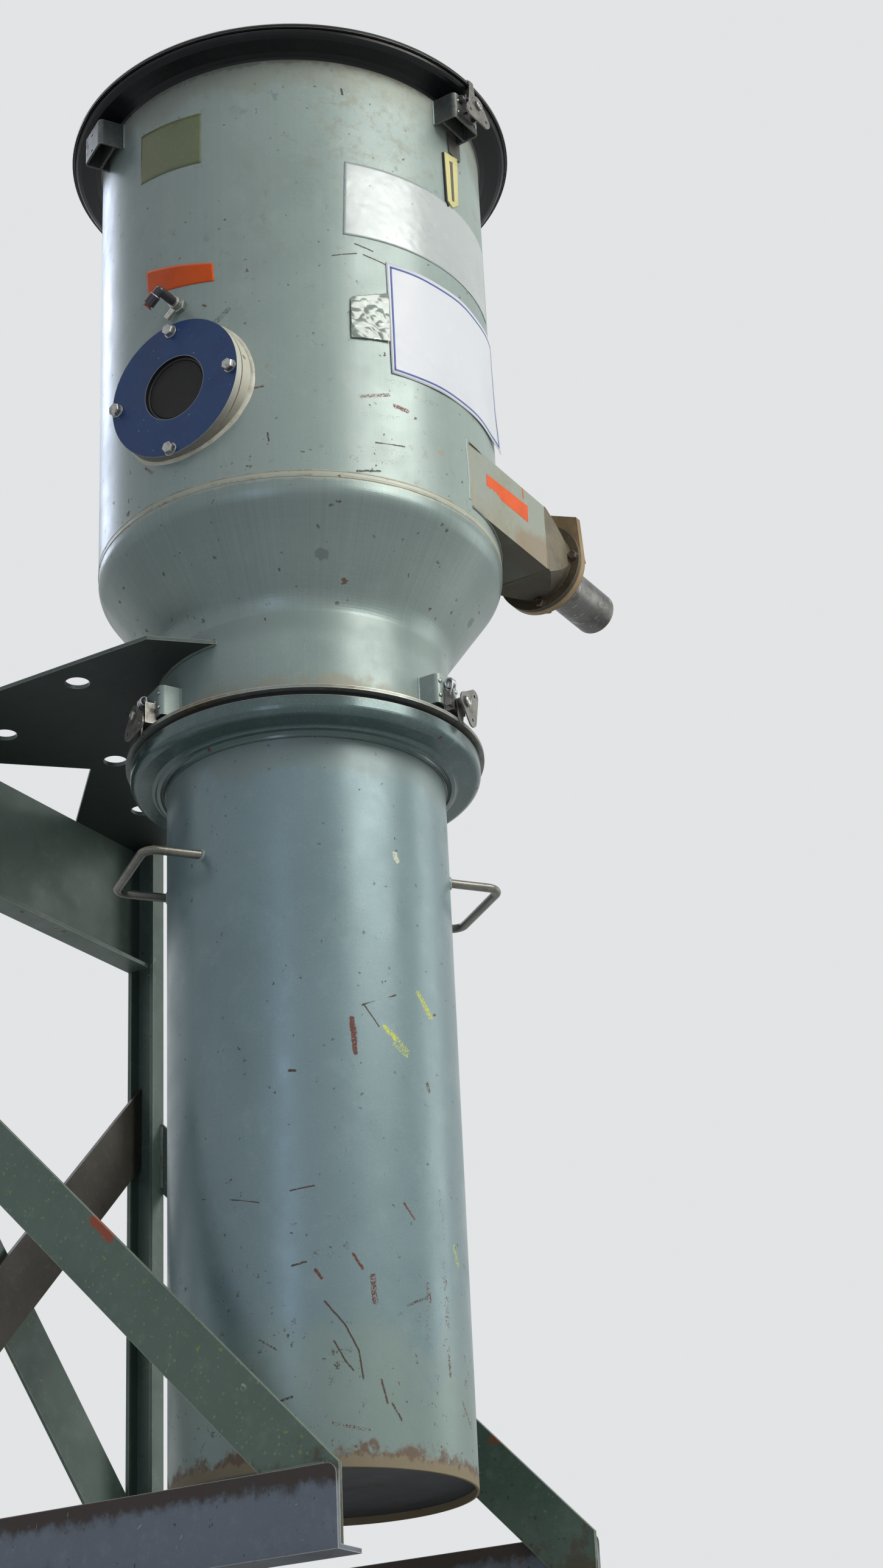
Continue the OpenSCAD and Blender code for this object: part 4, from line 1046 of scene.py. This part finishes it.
# flat pieces on the front, as (x, z) outlines: a brownish grey sheet under the lid's front bracket, a painted
# shadow of the bracket, and the slotted strip that hangs under it; the orange strip on the inlet box, torn at
# its lower left, and the sliver above it
facingFront = Matrix(((1, 0, 0, 0), (0, 0, -1, -wallR), (0, 1, 0, 0), (0, 0, 0, 1)))
flats = {  # slot, finish, how far out the back is, thickness, bevel, outline
    # painted shadow: the bracket's shadow on the wall and on the strip's top, as a brownish grey sheet
    "bracket_shadow_sheet": ("bracket_paint", "shadowAndSlotGrey", -0.002, 0.0045, 0.0005, [
        (-0.016, 2.060), (0.020, 2.060), (0.019, 2.024), (0.004, 2.020), (-0.013, 2.024)]),
    "slotted_strip": ("inlet_plate", "yellowStrip", -0.0025, 0.0052, 0.0005, [
        (-0.0299, 2.013), (0.009, 2.024), (0.0044, 1.931), (-0.012, 1.9165), (-0.027, 1.921)]),
    "slotted_strip_slot": ("gasket", "shadowAndSlotGrey", 0.0015, 0.0016, 0.0003, [
        (-0.0165, 2.004), (-0.0065, 2.007), (-0.0075, 1.996), (-0.0078, 1.930), (-0.0150, 1.928),
        (-0.0155, 1.995)]),
    "slotted_strip_edge": ("gasket", "darkSlot", -0.0025, 0.0046, 0.0003, [
        (-0.0318, 2.012), (-0.0299, 2.013), (-0.0272, 1.921), (-0.020, 1.917), (-0.024, 1.912),
        (-0.030, 1.921)]),
    "inlet_strip": ("port_gasket", "orangeLabel", -0.0001, 0.0004, 0, [
        (0.0481, 1.4651), (0.1716, 1.4698), (0.1701, 1.4402), (0.128, 1.4400), (0.098, 1.4398),
        (0.0868, 1.4408), (0.0832, 1.4455), (0.0785, 1.4432), (0.0752, 1.4478), (0.0705, 1.4446),
        (0.0662, 1.4472), (0.0610, 1.4462), (0.0572, 1.4431), (0.0520, 1.4452), (0.0465, 1.4440)]),
    "inlet_strip_sliver": ("port_gasket", "orangeLabel", -0.0001, 0.0004, 0, [
        (0.1572, 1.4955), (0.1592, 1.4952), (0.1612, 1.4790), (0.1600, 1.4770), (0.1583, 1.4800)]),
}
for name, (slot, coat, back, thick, bevel, outline) in flats.items():
    place = facingFront @ Matrix.Translation((0, 0, back))
    addPiece(name, coat, lambda work: stack(work, outline, [(1, 0), (1, thick)], place, bevel), 40)

# the air fitting: a hexagon on the nipple, a light ring at the elbow, and the turned sleeve's two rings
fitting = {"z": 1.686, "elbowOut": 0.015, "bendOut": 0.036, "sleeveTurn": 40, "acrossFlats": 0.0215,
           "sleeveAt": 0.010, "releaseAt": 0.026}
elbowX = -wallR - fitting["elbowOut"]
bendAt = Vector((elbowX - fitting["bendOut"], 0, fitting["z"]))
sleeveWay = Vector((0, *turned(1, math.radians(-fitting["sleeveTurn"]))))
sleeveEnd, releaseEnd = (placeAt(bendAt + sleeveWay * fitting[k], sleeveWay)
                         for k in ("sleeveAt", "releaseAt"))
addPiece("fitting_hexagon", "boltZinc", lambda work: stack(
    work, hexagon(fitting["acrossFlats"], 15), [(0.9, -0.001), (1, 0.0008), (1, 0.007), (0.9, 0.008)],
    placeAt((-wallR, 0, fitting["z"]), (-1, 0, 0))), 30)
addTurned("fitting_ring", "boltZinc", placeAt((elbowX, 0, fitting["z"]), (-1, 0, 0)), [
    (4, -1), (8.6, -1), (9.2, -0.2), (9.2, 1.2), (8.6, 2), (7.8, 2.4), (7.8, 3.6), (8.3, 4), (8.3, 5.2),
    (4, 5.6), (4, -1)])
addTurned("sleeve_ring", "springSteel", sleeveEnd, [
    (5, -1.2), (8.2, -1.2), (8.9, -0.6), (8.9, 0.2), (8.2, 0.4), (5, 0.4), (5, -1.2)])
addTurned("release_ring", "releaseRing", releaseEnd, [
    (3.6, -4), (5.6, -4), (5.6, 2.6), (7.2, 2.8), (7.8, 3.6), (7.2, 4.6), (4.6, 4.8), (3.6, 3.2), (3.6, -4)])

# the latches' small parts: the spring, the rivets and the slotted cap on the wing
latch = {"springR": 0.0066, "wireR": 0.0017, "turns": 2.3, "drop": 0.0135, "capR": 0.0072, "rivetR": 0.0034,
         "rivetY": 0.0225, "rivetDrops": (0.0115, 0.034), "capOut": 0.0148, "lidFace": 0.345,
         "neckOut": 0.031, "lidTop": 2.101, "lidPivot": 2.085, "neckTop": 1.118, "neckPivot": 1.076,
         "openTurn": 78, "capOff": 0.002}


def latchParts(name, angle, face, wingOut, pivotZ, top, turn):
    out, along = wayOut(angle)
    springZ = top - latch["drop"]

    def at(x, y, z):
        return out * x + along * y + Vector((0, 0, 1)) * z

    steps = int(latch["turns"] * 26)
    coil = [at(face + 0.0110, -0.0150, springZ - 0.0210), at(face + 0.0140, -0.0150, springZ - 0.0110)]
    for i in range(steps + 1):
        x, z = turned(latch["springR"], 2 * math.pi * latch["turns"] * i / steps)
        coil.append(at(face + 0.0086 + x, -0.0145 + 0.0095 * i / steps, springZ + z))
    coil.append(at(face + 0.0035, -0.0045, springZ - 0.0150))
    addPiece(name + "_spring", "springSteel",
             lambda work: sweepTube(work, coil, latch["wireR"], 10), 50)

    def buildCap(work):
        y, z = turned(latch["capOff"], math.radians(turn - 90))
        place = placeAt(at(wingOut, y, pivotZ + z), out)
        r = latch["capR"]
        lathe(work, [(0, -0.0006), (r, -0.0006), (r, 0.0006), (r - 0.0007, 0.0013), (r - 0.0022, 0.0016),
                     (0.0034, 0.0017), (0.0030, 0.0008), (0, 0.0008)], place, 40)
        stack(work, [(-0.0027, -0.0005), (0.0027, -0.0005), (0.0027, 0.0005), (-0.0027, 0.0005)],
              [(1, 0.0006), (1, 0.0013), (0.9, 0.0015)], place @ Matrix.Rotation(math.radians(35), 4, "Z"))
        r = latch["rivetR"]
        for drop in latch["rivetDrops"]:
            for y in (-latch["rivetY"], latch["rivetY"]):
                lathe(work, [(r, -0.0003), (r, 0.0004), (r * 0.8, 0.0011), (r * 0.45, 0.0016), (0, 0.0018)],
                      placeAt(at(face, y, top - drop), out), 20)

    addPiece(name + "_rivets", "boltZinc", buildCap, 40)


for k, angle in enumerate(lidAngles):
    if k != 1:  # the lid's left latch is missing
        latchParts("lid_latch_%d" % (k + 1), angle, latch["lidFace"], lidR + latch["capOut"],
                   latch["lidPivot"], latch["lidTop"], 0)
for k, angle in enumerate(neckAngles):
    latchParts("neck_latch_%d" % (k + 1), angle, neckR + latch["neckOut"], flangeR + latch["capOut"],
               latch["neckPivot"], latch["neckTop"], 0 if k else latch["openTurn"])


# the small bright weld tabs where the brackets' cheeks meet the wall: half the cheeks' span and their foot
tabs = {"lid": (0.0325, 2.055), "neck": (0.0285, 1.072), "size": 0.0026, "uneven": 0.0004, "step": 0.0012}


def buildTabs(work):
    for angle, radius, (half, foot), top in (
            [(a, wallR, tabs["lid"], latch["lidTop"]) for a in lidAngles]
            + [(a, neckR, tabs["neck"], latch["neckTop"]) for a in neckAngles]):
        out, along = wayOut(angle)
        for side in (-1, 1):
            spot = along * side * half + out * math.sqrt(radius ** 2 - half ** 2)
            line = resample([spot + Vector((0, 0, z)) for z in (foot + 0.001, top)], tabs["step"])
            sizes = [tabs["size"] + tabs["uneven"] * cloudAt(Vector((i * 0.31, angle, side)))
                     for i in range(len(line))]
            sweepTube(work, line, sizes, 8, False, 0.7, [(out + along * side).normalized()] * len(line))


addPiece("bracket_welds", "greenBead", buildTabs)
print("latch, bracket and fitting details made")

# the bolts through the inlet's disc and plate, heads on the disc and nuts on the plate's far side
inletBolts = {"circle": 0.0635, "acrossFlats": 0.013, "head": 0.0065, "washerR": 0.0085,
              "washerThick": 0.0012}
for k, turn in enumerate((-90, 90, 0, 180)):
    z, y = turned(inletBolts["circle"], math.radians(turn))
    for kind, x, way, twist in (("bolt", low("inlet_flange").x, -1, 10 + 13 * k),
                                ("nut", low("inlet_tube").x, 1, 22 + 17 * k)):
        addHexBolt("inlet_%s_%d" % (kind, k + 1), (x, inletY + y, inletZ + z), (way, 0, 0), inletBolts,
                   "boltRust", twist)
print("inlet fixings made")

view = {"spot": (-2.9979, -1.9878, -0.6879), "right": (0.5232, -0.8510, -0.0438),
        "up": (-0.3436, -0.2577, 0.9030), "forward": (0.7798, 0.4574, 0.4273), "lens": 62.38, "near": 0.05,
        "far": 60}
# each lamp: where it is, where it aims, its size, power and colour
studio = {"world": "E2E4E5", "worldLight": 0.2, "floorHalf": 7.0, "floorPale": 0.5,
          "floorShades": ("C2C4C4", "D2D4D3"), "floorRough": 0.75,
          "lamps": [("key", (-0.35, -4.0, 3.6), (0, 0, 1.2), (2.8, 2.2), 158, "FFFDF6"),
                    ("can strip", (-4.2, -0.9, 1.2), (0, 0, 0.5), (0.8, 2.2), 13, "C8D8FF"),
                    ("limb strip", (1.1, 3.9, 4.3), (0, 0, 1.4), (0.8, 1.5), 36, "DDE6FF"),
                    ("right", (3.2, -2.8, 1.8), (0, 0, 1.0), (1.6, 2.6), 28, "F4F6F2"),
                    ("top", (0.3, 0.8, 4.8), (0, 0, 1.0), (2.4, 2.4), 40, "FFFFFF")]}


def setCamera():
    data = bpy.data.cameras.new("photo view")
    data.lens, data.clip_start, data.clip_end = view["lens"], view["near"], view["far"]
    camera = show("photo view", data)
    right, up, forward = (Vector(view[k]).normalized() for k in ("right", "up", "forward"))
    turn = Matrix((right, up, -forward)).transposed().to_4x4()
    camera.matrix_world = Matrix.Translation(view["spot"]) @ turn
    scene.camera = camera


def raysThatSee(tree):  # camera, glossy and transmission rays, which show the pale background
    path = put(tree, "LightPath")
    either = calc("MAXIMUM", path["Is Camera Ray"], path["Is Glossy Ray"])
    return calc("MAXIMUM", either, path["Is Transmission Ray"])


def setFloor():  # a pale floor that is clear from below, because the camera stands under it
    place = Matrix.Translation((0, 0, floorZ))
    mesh = meshFrom("floor", lambda work: bmesh.ops.create_grid(
        work, x_segments=8, y_segments=8, size=studio["floorHalf"], matrix=place), settle=False)
    floor = show("floor", mesh)
    material, tree, shader = newMaterial("pale_floor")
    dark, light = (tint(code) for code in studio["floorShades"])
    colour = mixColour(noise(objectPoint(tree), 1.4, 4), dark, light)
    feed(shader, {"Base Color": colour, "Roughness": studio["floorRough"]})
    pale = put(tree, "Emission", {}, {"Color": tint(studio["world"]), "Strength": 1.0})[0]
    share = times(raysThatSee(tree), studio["floorPale"])
    lit = put(tree, "MixShader", {}, {0: share, 1: shader.outputs[0], 2: pale})[0]
    clear = put(tree, "BsdfTransparent")[0]
    under = put(tree, "NewGeometry")["Backfacing"]
    mix = put(tree, "MixShader", {}, {0: under, 1: lit, 2: clear})[0]
    feed(tree.nodes["Material Output"], {0: mix})
    mesh.materials.append(material)


def setLight():
    world = bpy.data.worlds.new("studio")
    scene.world = world
    world.use_nodes = True
    tree = world.node_tree
    feed(tree.nodes["Background"], {"Color": tint(studio["world"]),
                                    "Strength": mixValue(raysThatSee(tree), studio["worldLight"], 1.0)})
    for name, spot, aim, size, power, colour in studio["lamps"]:
        data = bpy.data.lights.new(name, "AREA")
        data.shape = "RECTANGLE"
        data.size, data.size_y = size
        data.energy = power
        data.color = tint(colour)[:3]
        lamp = show(name, data)
        lamp.visible_camera = False
        lamp.matrix_world = placeAt(Vector(spot), Vector(spot) - Vector(aim))


setCamera()
setFloor()
setLight()
print("camera and studio set")
